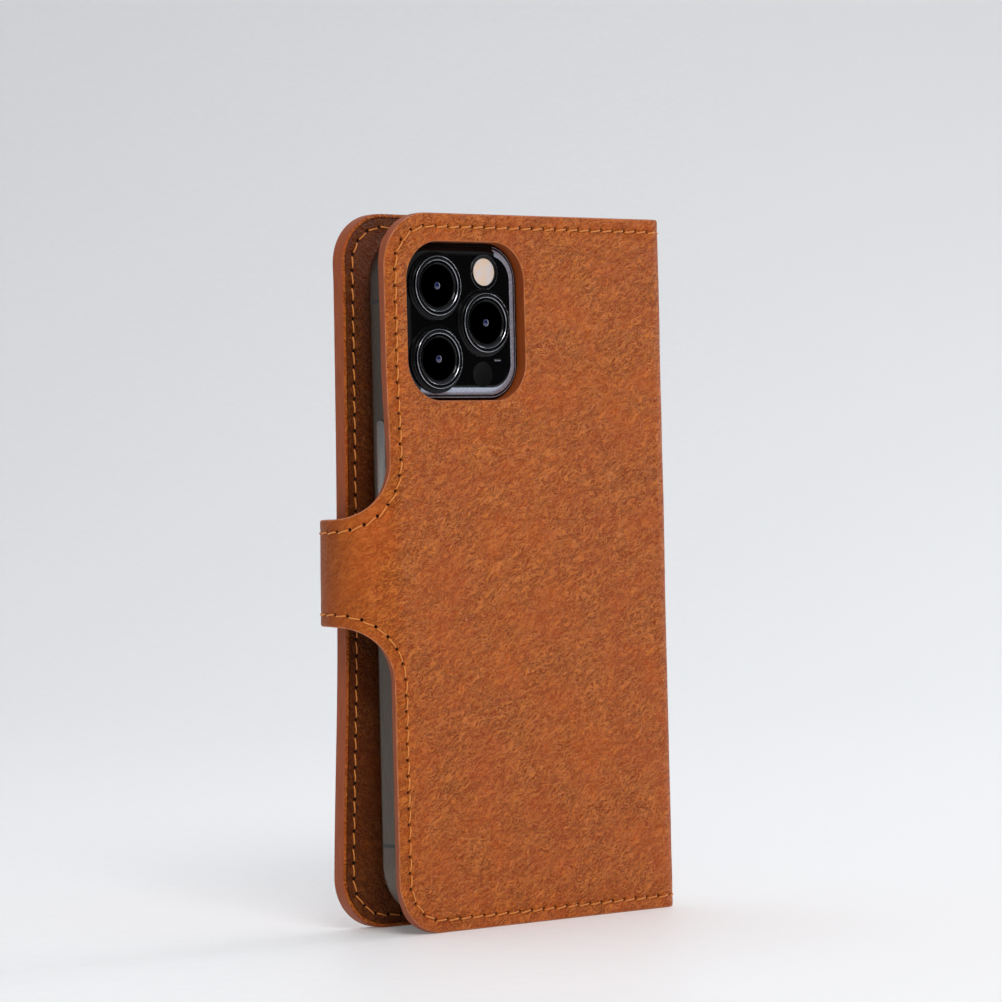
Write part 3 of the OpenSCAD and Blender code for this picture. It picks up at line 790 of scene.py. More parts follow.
MAT_LEATHER = leather("leather")
MAT_THREAD = thread_material()

# ---- The shell: a grid step, swellings of the free edge beside the camera, extra depth of the cut-out's
# wall, a groove along the seam, a dent round each stitch hole, and the hole's depth ----
STEP_Z = 1.15
EDGE_SWELL, TOP_SWELL, CUT_WALL = 0.65, 0.4, 0.66
GROOVE, DENT, HOLE_DEPTH = 0.11, 0.10, 0.55
BOARD_STEP = 0.11


def leather_thickness(u, z):
    t = STRAP_T + (LINING_Y - STRAP_T) * smooth(u, 0.0, 4.0)
    swell = EDGE_SWELL * smooth(z, 90.0, 122.0) + TOP_SWELL * smooth(z, 128.0, 148.0)
    t = t + swell * (1 - smooth(u, 1.2, 2.6)) * smooth(u, -1.0, 0.0)
    t = t + (SPINE_T - LINING_Y) * smooth(u, 75.2, 77.4)
    return t + (COVER_T - SPINE_T) * smooth(u, U_F2B - 1.5, U_F2B + 1.0)


def stack_thickness(u):
    """Depth of the cover's rim, where the pocket sheets are glued and sewn to it."""
    t = np.zeros(np.shape(u))
    for x in POCKET_OPEN:
        t = t + POCKET_T * (1 - smooth(U_END - np.asarray(u, float), x - 0.5, x))
    return t


def rim_thickness(u, z):
    in_hole = (u > HOLE_X0 - 0.1) & (u < HOLE_X1 + 0.1) & (z > HOLE_Z0 - 0.1) & (z < HOLE_Z1 + 0.1)
    return leather_thickness(u, z) + stack_thickness(u) + CUT_WALL * in_hole


def seam_groove(e, r):
    g = GROOVE * np.exp(-(((e - SEAM) / 0.5) ** 2)) + DENT * np.exp(-((r / 0.75) ** 2))
    return g + np.where(r < RING * 0.8, HOLE_DEPTH, 0.0)


def shell_outer(p, e, r):
    u, z = p[:, 0], p[:, 1]
    panel = smooth(u, 2, 8) * (1 - smooth(u, U_F1A - 4, U_F1A)) + smooth(u, U_F2B, U_F2B + 4)
    d = 0.07 * rolling(u, z, 17.0, 3) + 0.035 * rolling(u, z, 6.5, 5)
    d = d * (0.35 + 0.65 * smooth(e, 2, 9))
    board = BOARD_STEP * (1 - smooth(e + 0.25 * rolling(u, z, 11.0, 8), 4.9, 6.3)) * panel
    return d + board + seam_groove(e, r)


def shell_inner(p, e, r):
    u, z = p[:, 0], p[:, 1]
    t = leather_thickness(u, z) + np.where(e < (E0 + E1) / 2, stack_thickness(u), 0.0)
    return t - np.where(u > U_F2B, 0.0, seam_groove(e, r)) * 0.9


def spaced(points, step):
    return run(points, step) + [points[-1]]


SHELL_US = spaced(
    [U_TIP, U_FLAP, U_OVER, U_LOOP, 0.0, U_F1A, U_F1B, U_F2A, U_F2B, U_END],
    [1.1, 0.5, 0.9, 0.7, 1.1, 0.5, 1.0, 0.5, 1.1],
)
HOLE_LOOP = rounded_loop(HOLE_X0, HOLE_X1, HOLE_Z0, HOLE_Z1, HOLE_R, 0.7, into=False)
STRAP_REACH = STRAP_H / 2 - E0
ROOT_LO, ROOT_HI = ZC - CUT_Z, ZC + CUT_Z
CUTS = [
    ((CUT_STRAP, ZC - STRAP_REACH), (CUT_STRAP, ZC + STRAP_REACH)),
    ((CUT_SPINE, E0), (CUT_SPINE, H - E0)),
    ((E0, ROOT_LO), (CUT_ROOT_U, ROOT_LO)),
    ((CUT_ROOT_U, ROOT_LO), (CUT_ROOT_U, ROOT_HI)),
    ((CUT_ROOT_U, ROOT_HI), (E0, ROOT_HI)),
]
SEAM_ROWS = (1.75, SEAM - 0.6, SEAM, SEAM + 0.6, SEAM + 1.3)

PARTS = ("strap_tip", "strap_root", "shell_back", "shell_cover")


def shell_region(u, z):
    """The number in PARTS of the part that a point belongs to."""
    r = np.where(u < CUT_STRAP, 0, 2)
    r = np.where((u >= CUT_STRAP) & (u < CUT_ROOT_U) & (np.abs(z - ZC) < CUT_Z), 1, r)
    return np.where(u > CUT_SPINE, 3, r)


loops = [(BASE, INWARD), HOLE_LOOP]
shell = sheet(
    loops, rim_thickness, shell_outer, shell_inner, SHELL_US, STEP_Z, HOLES, lines=CUTS, seam_rows=SEAM_ROWS
)
SKINS = dict(zip(PARTS, split_sheet(shell, shell_region, PARTS, MAT_LEATHER)))

# ---- Pockets in the cover ----


def pocket(name, k, material):
    """Sheet k lies on the last; sheet 0 is the cash pocket."""
    opening = POCKET_OPEN[k]
    margin = E0 + 0.02
    u0, r, z0, z1 = U_END - opening, 1.2, margin, H - margin
    base, inward = rounded_loop(u0, U_END - margin, z0, z1, CORNER_R - margin, 0.8)

    def sorted_round(use):
        """The columns in use, in order round a point near the free edge."""
        b, n = base[use], inward[use]
        order = np.argsort(np.arctan2(b[:, 1] - H / 2, b[:, 0] - (U_END - CORNER_R - 8)))
        return b[order], n[order]

    # the open edge has small corners, of radius r, so its columns are made on their own
    away, upper = base[:, 0] >= u0 + CORNER_R, base[:, 1] > H / 2
    parts = [
        sorted_round(away & upper),
        line(run([u0 + CORNER_R, u0 + r], [1.0]), z1, (0, -1)),
        arc(u0 + r, z1 - r, r, 90, 180, False, 0.4),
        line(u0, run([z1 - r, z0 + r], [1.0]), (1, 0)),
        arc(u0 + r, z0 + r, r, 180, 270, False, 0.4),
        line(run([u0 + r, u0 + CORNER_R], [1.0]), z0, (0, 1)),
        sorted_round(away & ~upper),
    ]
    base, inward = (np.concatenate([p[j] for p in parts]) for j in (0, 1))
    depth = COVER_T + k * POCKET_T
    last = k + 1 == len(POCKET_OPEN)
    limit = 0.0 if last else POCKET_OPEN[k + 1]
    x = U_END - HOLES[:, 0]
    mine = HOLES[(x < opening - 0.8) & (x > (0.0 if last else limit + 0.8))]
    mine = mine[inside(mine, base + 0.9 * inward)]

    def outer(p, e, r):
        return np.full(len(p), depth + 0.004)

    def inner(p, e, r):
        away = nearest(p, HOLES)[0]
        top_sheet = (U_END - p[:, 0]) > limit
        g = DENT * np.exp(-((away / 0.75) ** 2)) + np.where(r < RING * 0.8, 0.3, 0.0)
        return depth + POCKET_T - g * top_sheet

    def whole(u, z):
        return np.full(np.shape(u), depth + POCKET_T)

    us = spaced([u0, U_END - margin], [POCKET_STEP])
    data = sheet([(base, inward)], whole, outer, inner, us, POCKET_STEP, mine, rows=THIN_EDGE, e0=0.3)
    return split_sheet(data, lambda u, z: np.zeros(np.shape(u), int), [name], material)[0]


POCKET_STEP = 1.6
# the pocket leather is darkened and mixed with the dark leather colour: painted shade for the gap between the
# covers
MAT_POCKET_SHADED = leather("pocket_leather", 0.42, 0.35)
POCKET_NODES = ("cash_pocket", "card_pocket_1", "card_pocket_2", "card_pocket_3")
pockets = [pocket("pocket_sheet_%d" % k, k, MAT_POCKET_SHADED) for k in range(4)]

# ---- Stitches: places along a thread, how deep each lies, sides of its tube, how much of the hole at its
# end stays clear, and how far its two ends are off the line of the holes ----
TUBE_STEPS = np.array([0.0, 0.08, 0.2, 0.36, 0.5, 0.64, 0.8, 0.92, 1.0])
TUBE_LIFT = np.array([0.40, 0.09, -0.02, -0.07, -0.08, -0.07, -0.02, 0.12, 0.45])
TUBE_SIDES = 8
HOLE_SHOWN = 0.26
SKEW_A, SKEW_B = np.array([0.28, -0.34]), np.array([-0.08, 0.06])


def unit(v):
    return v / np.linalg.norm(v, axis=-1)[..., None]


def stitches(name, starts, ends, surface, outward):
    """Threads from hole to hole. surface(u, z) is the depth that they lie on; outward is -1 on the outer
    face and 1 on the inner."""
    way = ends - starts
    length = np.linalg.norm(way, axis=1)
    way = way / length[:, None]
    flip = (way[:, 0] - way[:, 1]) < 0  # each runs down and to the right
    a, b = np.where(flip[:, None], ends, starts), np.where(flip[:, None], starts, ends)
    jitter = np.random.default_rng(11).normal(0, 0.035, (len(a), 2))
    a = a + SKEW_A + jitter
    b = b + SKEW_B - unit(b - a) * HOLE_SHOWN
    t = TUBE_STEPS[None, :, None]
    path = a[:, None] * (1 - t) + b[:, None] * t
    depth = surface(path[..., 0], path[..., 1]) - TUBE_LIFT * outward
    mid = place(path[..., 0], path[..., 1], depth)
    up = unit(place(path[..., 0], path[..., 1], depth + 0.1 * outward) - mid)
    ahead = unit(np.gradient(mid, axis=1))
    side = unit(np.cross(ahead, up))
    up = np.cross(side, ahead)
    turn = np.arange(TUBE_SIDES) / TUBE_SIDES * 2 * math.pi
    slim = np.where((TUBE_STEPS < 0.02) | (TUBE_STEPS > 0.98), 0.6, 1.0)[None, :, None, None]
    wide, high = THREAD_SEEN / 2 * 0.001, THREAD_SEEN * 0.44 * 0.001
    ring = (
        np.cos(turn)[None, None, :, None] * side[:, :, None] * wide
        + np.sin(turn)[None, None, :, None] * up[:, :, None] * high
    )
    co = mid[:, :, None] + ring * slim
    s_count, k_count = co.shape[:2]
    index = np.arange(s_count * k_count * TUBE_SIDES).reshape(s_count, k_count, TUBE_SIDES)
    nxt = np.roll(index, -1, 2)
    quads = np.stack([index[:, :-1], index[:, 1:], nxt[:, 1:], nxt[:, :-1]], -1).reshape(-1, 4)
    faces = quads.tolist() + index[:, 0].tolist() + index[:, -1, ::-1].tolist()
    strand = np.zeros(co.shape)
    strand[..., 0] = (TUBE_STEPS[None, :] * length[:, None])[..., None]
    strand[..., 1] = np.where(turn > math.pi, 2 * math.pi - turn, turn)[None, None] / math.pi
    return add_mesh(name, co.reshape(-1, 3), faces, {"strand": strand.reshape(-1, 3)}, material=MAT_THREAD)


hole_next = np.roll(HOLES, -1, 0)
middle = (HOLES + hole_next) / 2
stitch_region = shell_region(middle[:, 0], middle[:, 1])


def outer_face(u, z):
    return np.zeros(u.shape)


threads = {}
for k, part in enumerate(PARTS):
    ends = HOLES[stitch_region == k], hole_next[stitch_region == k]
    threads[part] = [
        stitches("stitches_%s_outer" % part, *ends, outer_face, -1),
        stitches("stitches_%s_inner" % part, *ends, rim_thickness, 1),
    ]

# ---- Phone and camera ----


def plain(name, colour, roughness, metallic=0.0, specular=0.5, grain=(900.0, 0.06, 0.000004)):
    """A hard finish whose roughness varies and whose surface has a faint grain, given by its scale, the
    change in roughness and its depth in metres."""
    s = Shader(name, Metallic=metallic)
    s.set("Specular IOR Level", specular)
    scale, vary, depth = grain
    fine = s.noise(s.place(), scale, 3.0)
    s.set("Base Color", s.mix(s.ramp(fine, 0.3, 0.7, 0.0, 0.25), colour, scaled(colour, 0.8)))
    s.set("Roughness", s.ramp(fine, 0.3, 0.7, max(roughness - vary, 0.02), roughness + vary))
    s.set("Normal", s.bump(fine, depth, 0.6))
    return s.mat


def brushed(name, colour, roughness):
    s = Shader(name, Metallic=1.0)
    lines = s.noise(s.turned(s.place(), 0, (1.0, 1.0, 30.0)), 6000.0, 2.0)
    s.set("Base Color", s.mix(s.ramp(lines, 0.3, 0.7, 0.0, 0.4), colour, scaled(colour, 0.7)))
    s.set("Roughness", s.ramp(lines, 0.3, 0.7, roughness - 0.05, roughness + 0.08))
    return s.mat


MAT_METAL = brushed("phone_metal", rgb(98, 90, 82), 0.3)
MAT_BUTTON = brushed("button_metal", rgb(150, 146, 142), 0.26)
MAT_GLASS = plain("phone_glass", rgb(30, 31, 34), 0.28, specular=0.4, grain=(3000.0, 0.05, 0.000003))
MAT_DISPLAY = plain("display_glass", rgb(7, 7, 9), 0.06, grain=(60.0, 0.02, 0.0))
MAT_BLACK = plain("camera_black", rgb(5, 5, 6), 0.08, specular=0.35, grain=(120.0, 0.03, 0.0))
MAT_LENS_METAL = plain("lens_metal", rgb(20, 20, 22), 0.24, metallic=0.7, grain=(1500.0, 0.05, 0.000002))
MAT_BRIGHT = plain("lens_chamfer", rgb(176, 180, 188), 0.2, metallic=1.0, grain=(1500.0, 0.04, 0.0))
MAT_LENS = plain("lens_glass", rgb(3, 3, 5), 0.05, specular=0.4, grain=(80.0, 0.02, 0.0))
MAT_BAFFLE = plain("lens_baffle", rgb(4, 4, 5), 0.5, specular=0.12, grain=(1500.0, 0.08, 0.000004))
# pale material for the right and lower sides of the camera rim: a painted highlight
MAT_RIM_HIGHLIGHT = plain("camera_rim", rgb(176, 184, 202), 0.26, metallic=0.45, grain=(900.0, 0.04, 0.0))
MAT_RUBBER = plain("suction_pad", rgb(26, 26, 27), 0.6, grain=(2500.0, 0.1, 0.00003))
MAT_BAND = plain("antenna_plastic", rgb(44, 42, 41), 0.45)


def coated_glass_painted_glow():
    """Front element of a lens: dark, with a blue and violet tint in rings, partly the coating's own colour
    and partly a painted reflection, and a faint blue emission towards the middle that is a painted glow.
    """
    s = Shader("coated_glass_painted_glow", Roughness=0.06)
    s.set("Coat Weight", 1.0)
    s.set("Coat Roughness", 0.03)
    radius = s.attribute("radius")
    colour = s.mix(s.ramp(radius, 0.25, 1.0), rgb(6, 14, 60), rgb(10, 6, 22))
    colour = s.mix(s.ramp(radius, 0.72, 0.95), colour, rgb(2, 2, 4))
    s.set("Base Color", colour)
    # painted glow: a faint blue emission towards the middle
    s.set("Emission Color", rgb(20, 44, 170))
    s.set("Emission Strength", s.ramp(radius, 0.1, 0.8, 0.035, 0.0))
    return s.mat


def diffuser():
    """The flash's window: small facets over a warm, mottled white."""
    s = Shader("flash_diffuser", Roughness=0.3)
    facet, soft = s.cells(s.place(), 2600.0), s.noise(s.place(), 420.0, 2.0)
    colour = s.mix(s.ramp(soft, 0.35, 0.65), rgb(226, 214, 210), rgb(240, 208, 178))
    s.set("Base Color", s.mix(s.ramp(facet, 0.0, 0.3, 0.35, 0.0), colour, rgb(198, 190, 190)))
    s.set("Normal", s.bump(s.ramp(facet, 0.0, 0.4), 0.00006, 0.6))
    s.set("Coat Weight", 0.5)
    return s.mat


MAT_COATED_GLOW, MAT_DIFFUSER = coated_glass_painted_glow(), diffuser()


def rings_mesh(name, rings, mats, bands=None, attrs=None, sharp=32):
    """Joins closed rings of points into a closed skin. bands gives each step's material number."""
    count, m = len(rings), len(rings[0])
    co = np.concatenate(rings)
    index = np.arange(count * m).reshape(count, m)
    nxt = np.roll(index, -1, 1)
    quads = np.stack([index[:-1], index[1:], nxt[1:], nxt[:-1]], -1)
    faces = quads.reshape(-1, 4).tolist() + [index[0].tolist(), index[-1, ::-1].tolist()]
    kinds = np.repeat(np.zeros(count - 1, int) if bands is None else np.array(bands), m).tolist()
    kinds += [kinds[0], kinds[-1]]
    obj = add_mesh(name, world(co), faces, attrs)
    work = bmesh.new()
    work.from_mesh(obj.data)
    bmesh.ops.recalc_face_normals(work, faces=work.faces)
    work.to_mesh(obj.data)
    work.free()
    obj.data.set_sharp_from_angle(angle=math.radians(sharp))
    for mat in mats:
        obj.data.materials.append(mat)
    for poly, kind in zip(obj.data.polygons, kinds):
        poly.material_index = kind
        poly.use_smooth = True
    return obj


def slab(name, outline, rows, mats, bands=None, sharp=32):
    """A plate from rows of (inset, y) round an outline of base points and inward normals."""
    rings = []
    for e, y in rows:
        x, z = (outline[0] + e * outline[1]).T
        rings.append(np.column_stack([x, np.full(len(x), y), z]))
    return rings_mesh(name, rings, mats, bands, sharp=sharp)


TURN_SIDES = 72


def turned_piece(name, at, face_y, rows, mats, bands=None, sharp=28):
    """A lathed piece on an axis along y. rows are (radius, height out from face_y)."""
    a = np.arange(TURN_SIDES) / TURN_SIDES * 2 * math.pi
    most = max(r for r, _ in rows)
    rings, radius = [], []
    for r, h in rows:
        x, z = at[0] + r * np.cos(a), at[1] + r * np.sin(a)
        rings.append(np.column_stack([x, np.full(TURN_SIDES, face_y - h), z]))
        radius.append(np.full(TURN_SIDES, r / most))
    return rings_mesh(name, rings, mats, bands, {"radius": np.concatenate(radius)}, sharp=sharp)


def fit_box(node):
    lo, hi = box_mm(node)
    return lo - ORIGIN, hi - ORIGIN


def settle(piece, body, slot, *covers):
    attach(piece, body)
    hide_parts(*covers)


# Phone frame: flat sides with rounded edges, cut out for its buttons
PHONE_R, PHONE_EDGE = 11.0, 1.15
frame_lo, frame_hi = fit_box("phone_frame")
phone_loop = rounded_loop(frame_lo[0], frame_hi[0], frame_lo[2], frame_hi[2], PHONE_R, 0.8)
glass_lo, _ = fit_box("phone_rear_glass")
GLASS_IN = glass_lo[0] - frame_lo[0]
y0, y1 = frame_lo[1], frame_hi[1]


def edge_rows(y_face, way):
    """Rows of a quarter-round edge from the face to the side."""
    rows = []
    for k in range(6):
        a = k / 5 * math.pi / 2
        rows.append((PHONE_EDGE * (1 - math.sin(a)), y_face + way * PHONE_EDGE * (1 - math.cos(a))))
    return rows


GLASS_T, LEDGE = 0.55, 0.02
SIDE_ROWS = edge_rows(y0, 1) + edge_rows(y1, -1)[::-1]
ledge_x = GLASS_IN + LEDGE
rows = [(ledge_x, y0 + GLASS_T), (ledge_x, y0 + LEDGE)] + SIDE_ROWS
rows += [(ledge_x, y1 - LEDGE), (ledge_x, y1 - GLASS_T)]
phone_shell = slab("phone_shell", phone_loop, rows, [MAT_METAL])

# Buttons: bars with rounded ends and soft edges, each in its recess. The switch's is long and wide
# enough for its travel
BUTTON_GAP, BUTTON_SINK, CUTTER_L = 0.12, 0.5, 4.0
BUTTON_ROUND = 0.96
MUTE_TRAVEL = 1.0
BUTTONS = {
    "side_button": "side_key",
    "volume_up_button": "volume_up_key",
    "volume_down_button": "volume_down_key",
    "mute_switch": "mute_slider",
}


def upright_ring(x, loop):
    return np.column_stack([np.full(len(loop), x), loop])


cutters = []
for node, body in BUTTONS.items():
    lo, hi = fit_box(node)
    way = 1 if (lo[0] + hi[0]) > (frame_lo[0] + frame_hi[0]) else -1
    face, root = (hi[0], lo[0]) if way > 0 else (lo[0], hi[0])
    slide = MUTE_TRAVEL if node == "mute_switch" else 0.0
    across, along = BUTTON_GAP + slide / 2, BUTTON_GAP + slide
    half = (hi[1] - lo[1] + slide) / 2 + BUTTON_GAP
    ys, zs = (lo[1] - BUTTON_GAP, hi[1] + along), (lo[2] - across, hi[2] + across)
    around = rounded_loop(*ys, *zs, half * BUTTON_ROUND, 0.25)[0]
    inner = root - way * BUTTON_SINK
    rings = [upright_ring(x, around) for x in (inner, inner + way * CUTTER_L)]
    cutters.append(rings_mesh("cutter", rings, [MAT_METAL]))
    base, inward = rounded_loop(lo[1], hi[1], lo[2], hi[2], (hi[1] - lo[1]) / 2 * BUTTON_ROUND, 0.2)
    steps = ((0.0, root), (0.0, face - way * 0.16), (0.05, face - way * 0.05), (0.16, face))
    button = rings_mesh(node + "_bar", [upright_ring(x, base + e * inward) for e, x in steps], [MAT_BUTTON])
    settle(button, body, "phone_metal", node)
for cutter in cutters:
    cut = phone_shell.modifiers.new("recess", "BOOLEAN")
    cut.operation, cut.solver, cut.object = "DIFFERENCE", "EXACT", cutter
bpy.context.view_layer.update()
depsgraph = bpy.context.evaluated_depsgraph_get()
made = bpy.data.meshes.new_from_object(phone_shell.evaluated_get(depsgraph))
phone_shell.modifiers.clear()
phone_shell.data = made
made.set_sharp_from_angle(angle=math.radians(32))
for cutter in cutters:
    bpy.data.objects.remove(cutter, do_unlink=True)
settle(phone_shell, "back_panel", "phone_metal", "phone_frame")

# Glass plates, a hair proud of the frame with rounded rims
for name, node, y, way, mat, slot in (
    ("rear_plate", "phone_rear_glass", y0, 1, MAT_GLASS, "phone_glass"),
    ("display_plate", "phone_display", y1, -1, MAT_DISPLAY, "display_glass"),
):
    plate_rows = [(GLASS_IN + 0.05, y + way * (GLASS_T - 0.02)), (GLASS_IN + 0.05, y + way * 0.12)]
    plate_rows += [(GLASS_IN + 0.10, y + way * 0.04), (GLASS_IN + 0.22, y), (GLASS_IN + 0.6, y)]
    settle(slab(name, phone_loop, plate_rows, [mat]), "back_panel", slot, node)

# Antenna bands: thin plastic inlays in the frame
BAND_W, BAND_PROUD, BAND_DEPTH, BAND_OUT = 0.8, 0.012, 0.25, 0.2
band_lo, band_hi = fit_box("antenna_bands")
for k, z in enumerate((band_lo[2] - BAND_OUT, band_hi[2] + BAND_OUT)):
    for side, (x_out, way) in enumerate(((frame_lo[0], 1), (frame_hi[0], -1))):
        section = [(x_out + way * (e - BAND_PROUD), y) for e, y in SIDE_ROWS]
        section += [(x + way * BAND_DEPTH, y) for x, y in section[::-1]]
        rings = [np.array([(x, y, z + rise) for x, y in section]) for rise in (-BAND_W / 2, BAND_W / 2)]
        band = rings_mesh("band_%d_%d" % (k, side), rings, [MAT_BAND])
        settle(band, "back_panel", "antenna_plastic", "antenna_bands")

# Camera plateau: a glass face with a broad sloping rim and a polished ledge, which nearly fills the
# cut-out. Rows are (inset, depth). The rim gets a pale material on its right and lower sides only, a
# painted highlight where it catches the light; the rest of it is black
PLATEAU_R = 8.0
PLATEAU_X0 = fit_box("camera_plateau")[0][0]
PLATEAU_Y = fit_box("depth_sensor")[0][1]
PLATEAU_ROWS = (
    (3.6, 0.0), (3.0, 0.0), (2.8, 0.012), (2.55, 0.05), (2.2, 0.13), (1.8, 0.26), (1.4, 0.42), (1.05, 0.58),
    (0.95, 0.64), (0.86, 0.70), (0.74, 0.71), (0.60, 0.72), (0.42, 0.78), (0.22, 0.90), (0.08, 1.06),
    (0.0, 1.28),
)
PLATEAU_GAP = 0.2
RIM_DARK, RIM_LIT = 4.5, 26.0
plateau_x1, plateau_z = HOLE_X1 - PLATEAU_GAP, (HOLE_Z0 + PLATEAU_GAP, HOLE_Z1 - PLATEAU_GAP)
plateau_loop = rounded_loop(PLATEAU_X0, plateau_x1, *plateau_z, PLATEAU_R, 0.5)
PLATEAU_BANDS = (0, 0, 0, 1, 1, 1, 1, 0, 0, 0, 0, 1, 0, 0, 0)
plateau_rows = [(e, PLATEAU_Y + d) for e, d in PLATEAU_ROWS]
plateau = slab("plateau", plateau_loop, plateau_rows, [MAT_BLACK, MAT_RIM_HIGHLIGHT], PLATEAU_BANDS, sharp=24)
# faces on the left and upper left go back to black, so the pale painted highlight stays on the right and
# lower sides
for face in plateau.data.polygons:
    left, up = face.center.x * 1000 - ORIGIN[0] - HOLE_X0, face.center.z * 1000 - HOLE_Z0
    if left < RIM_DARK or (left < RIM_LIT and up > PLATEAU_R):
        face.material_index = 0
settle(plateau, "back_panel", "camera_black", "camera_plateau")

# Lens barrels, stepped, with two polished chamfers, and the glass set inside them
BARREL = (
    (7.38, -0.02), (7.38, 0.38), (7.30, 0.48), (7.16, 0.52), (6.75, 0.52), (6.55, 0.56), (6.42, 0.70),
    (6.40, 1.36), (6.37, 1.43), (6.28, 1.49), (6.18, 1.50), (5.62, 1.50), (5.55, 1.47), (5.46, 1.40),
    (5.42, 1.30), (5.36, 1.0),
)
BARREL_BANDS = (0, 0, 0, 0, 0, 0, 0, 0, 1, 0, 0, 0, 1, 0, 0)
BOWL = (
    (5.34, 1.0), (5.34, 1.24), (5.2, 1.27), (4.9, 1.27), (4.82, 1.20), (4.6, 1.0), (3.6, 0.72), (3.5, 0.76),
    (3.3, 0.76), (3.2, 0.66), (2.4, 0.42), (2.3, 0.46), (2.12, 0.46), (2.02, 0.30), (1.75, 0.20), (1.4, 0.18),
)
BOWL_BANDS = (0, 0, 0, 0, 1, 1, 1, 1, 1, 1, 1, 1, 1, 1, 1)
DOME_BALL, DOME_SINK = 1.9, 0.72
DOME_TURNS = np.radians([28, 36, 45, 54, 63, 71, 79, 87])
DOME = [(DOME_BALL * math.cos(a), DOME_BALL * math.sin(a) - DOME_SINK) for a in DOME_TURNS]


def middle_of(node):
    lo, hi = fit_box(node)
    return (lo[0] + hi[0]) / 2, (lo[2] + hi[2]) / 2


for n in (1, 2, 3):
    at = middle_of("lens_ring_%d" % n)
    barrel = turned_piece("barrel_%d" % n, at, PLATEAU_Y, BARREL, [MAT_LENS_METAL, MAT_BRIGHT], BARREL_BANDS)
    settle(barrel, "back_panel", "lens_metal", "lens_ring_%d" % n)
    bowl = turned_piece("bowl_%d" % n, at, PLATEAU_Y, BOWL, [MAT_LENS, MAT_BAFFLE], BOWL_BANDS)
    settle(bowl, "back_panel", "lens_glass", "lens_glass_%d" % n)
    dome = turned_piece("dome_%d" % n, at, PLATEAU_Y, DOME, [MAT_COATED_GLOW])
    settle(dome, "back_panel", "lens_glass", "lens_glass_%d" % n)

# Flash with its bezel, depth sensor and microphone slot
flash_at = middle_of("camera_flash")
BEZEL = ((3.92, -0.02), (3.90, 0.10), (3.80, 0.17), (3.66, 0.18), (3.30, 0.10), (3.02, 0.02), (2.98, -0.05))
bezel_paint = ([MAT_LENS_METAL, MAT_BRIGHT], (0, 0, 1, 0, 0, 0))
bezel = turned_piece("flash_bezel", flash_at, PLATEAU_Y, BEZEL, *bezel_paint)
settle(bezel, "back_panel", "flash_diffuser", "camera_flash")
LAMP = ((2.96, -0.05), (2.94, 0.05), (2.84, 0.10), (2.3, 0.16), (1.6, 0.20), (0.8, 0.22), (0.1, 0.23))
lamp = turned_piece("flash_lamp", flash_at, PLATEAU_Y, LAMP, [MAT_DIFFUSER])
settle(lamp, "back_panel", "flash_diffuser", "camera_flash")
SENSOR = ((2.78, -0.02), (2.76, 0.035), (2.70, 0.05), (2.62, 0.05), (2.56, 0.02), (0.2, 0.02))
sensor = turned_piece("sensor_window", middle_of("depth_sensor"), PLATEAU_Y, SENSOR, [MAT_BAFFLE])
settle(sensor, "back_panel", "camera_black", "depth_sensor")
MIC_X, MIC_Z, MIC_HALF, MIC_H = 32.2, 122.3, 0.85, 0.2
mic_x, mic_z = (MIC_X - MIC_HALF, MIC_X + MIC_HALF), (MIC_Z - MIC_H, MIC_Z + MIC_H)
mic_rows = [(e, PLATEAU_Y - h) for e, h in ((0.0, -0.02), (0.0, 0.03), (0.05, 0.05), (0.1, 0.05))]
mic = slab("mic_slot", rounded_loop(*mic_x, *mic_z, MIC_H * 0.96, 0.12), mic_rows, [MAT_BRIGHT])
settle(mic, "back_panel", "lens_metal", "camera_plateau")

# The suction pad shows its CAD shape, repainted
pad = frame["nodes"]["suction_pad"].data
for k in range(len(pad.materials)):
    pad.materials[k] = MAT_RUBBER
if not pad.materials:
    pad.materials.append(MAT_RUBBER)

# ---- What each piece stands for, and the body that the pockets ride on ----


def fit_point(x, y):
    return tuple(world((x, y, ZC)))


# Each skin's two bodies and the points between which it bends from one to the other, listed; the loop below
# only bakes each skin and its threads in place and hides the nodes they stand for
BENDS = {
    "shell_back": ("back_panel", "spine", fit_point(FLAT_X, 0), fit_point(SPINE_X, FOLD_R)),
    "shell_cover": ("spine", "front_cover", fit_point(SPINE_X, FOLD2_Y), fit_point(FLAT_X, FOLD2_Y + FOLD_R)),
    "strap_root": ("back_panel", "strap_side", fit_point(-1.4, 1.4), fit_point(-6.6, 6.6)),
    "strap_tip": ("strap_side", "strap_flap", fit_point(-7.5, 12.5), fit_point(-1.0, 21.0)),
}
STANDS_FOR = {
    "shell_back": ("back_leather", "back_lining", "back_board"),
    "shell_cover": ("cover_leather", "spine_leather", "spine_lining", "cover_board", "keeper_plate"),
    "strap_root": ("strap_side_leather", "strap_side_lining"),
    "strap_tip": ("strap_flap_leather", "strap_flap_lining", "strap_magnet"),
}
THREAD_FOR = {
    "shell_back": ("back_thread",),
    "shell_cover": ("cover_thread", "spine_thread"),
    "strap_root": ("strap_side_thread",),
    "strap_tip": ("strap_flap_thread",),
}
for part, (a, b, start, end) in BENDS.items():
    pieces = [(SKINS[part], STANDS_FOR[part], "shell_leather")]
    pieces += [(thread, THREAD_FOR[part], "thread") for thread in threads[part]]
    for piece, nodes, slot in pieces:
        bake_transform(piece)
        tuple(start)
        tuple(end)
        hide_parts(*nodes)
for piece, node in zip(pockets, POCKET_NODES):
    settle(piece, "front_cover", "pocket_leather", node)

# ---- Floor, backdrop and light ----
AHEAD = np.array([math.sin(CAM_YAW), math.cos(CAM_YAW)])
SIDE = np.array([AHEAD[1], -AHEAD[0]])


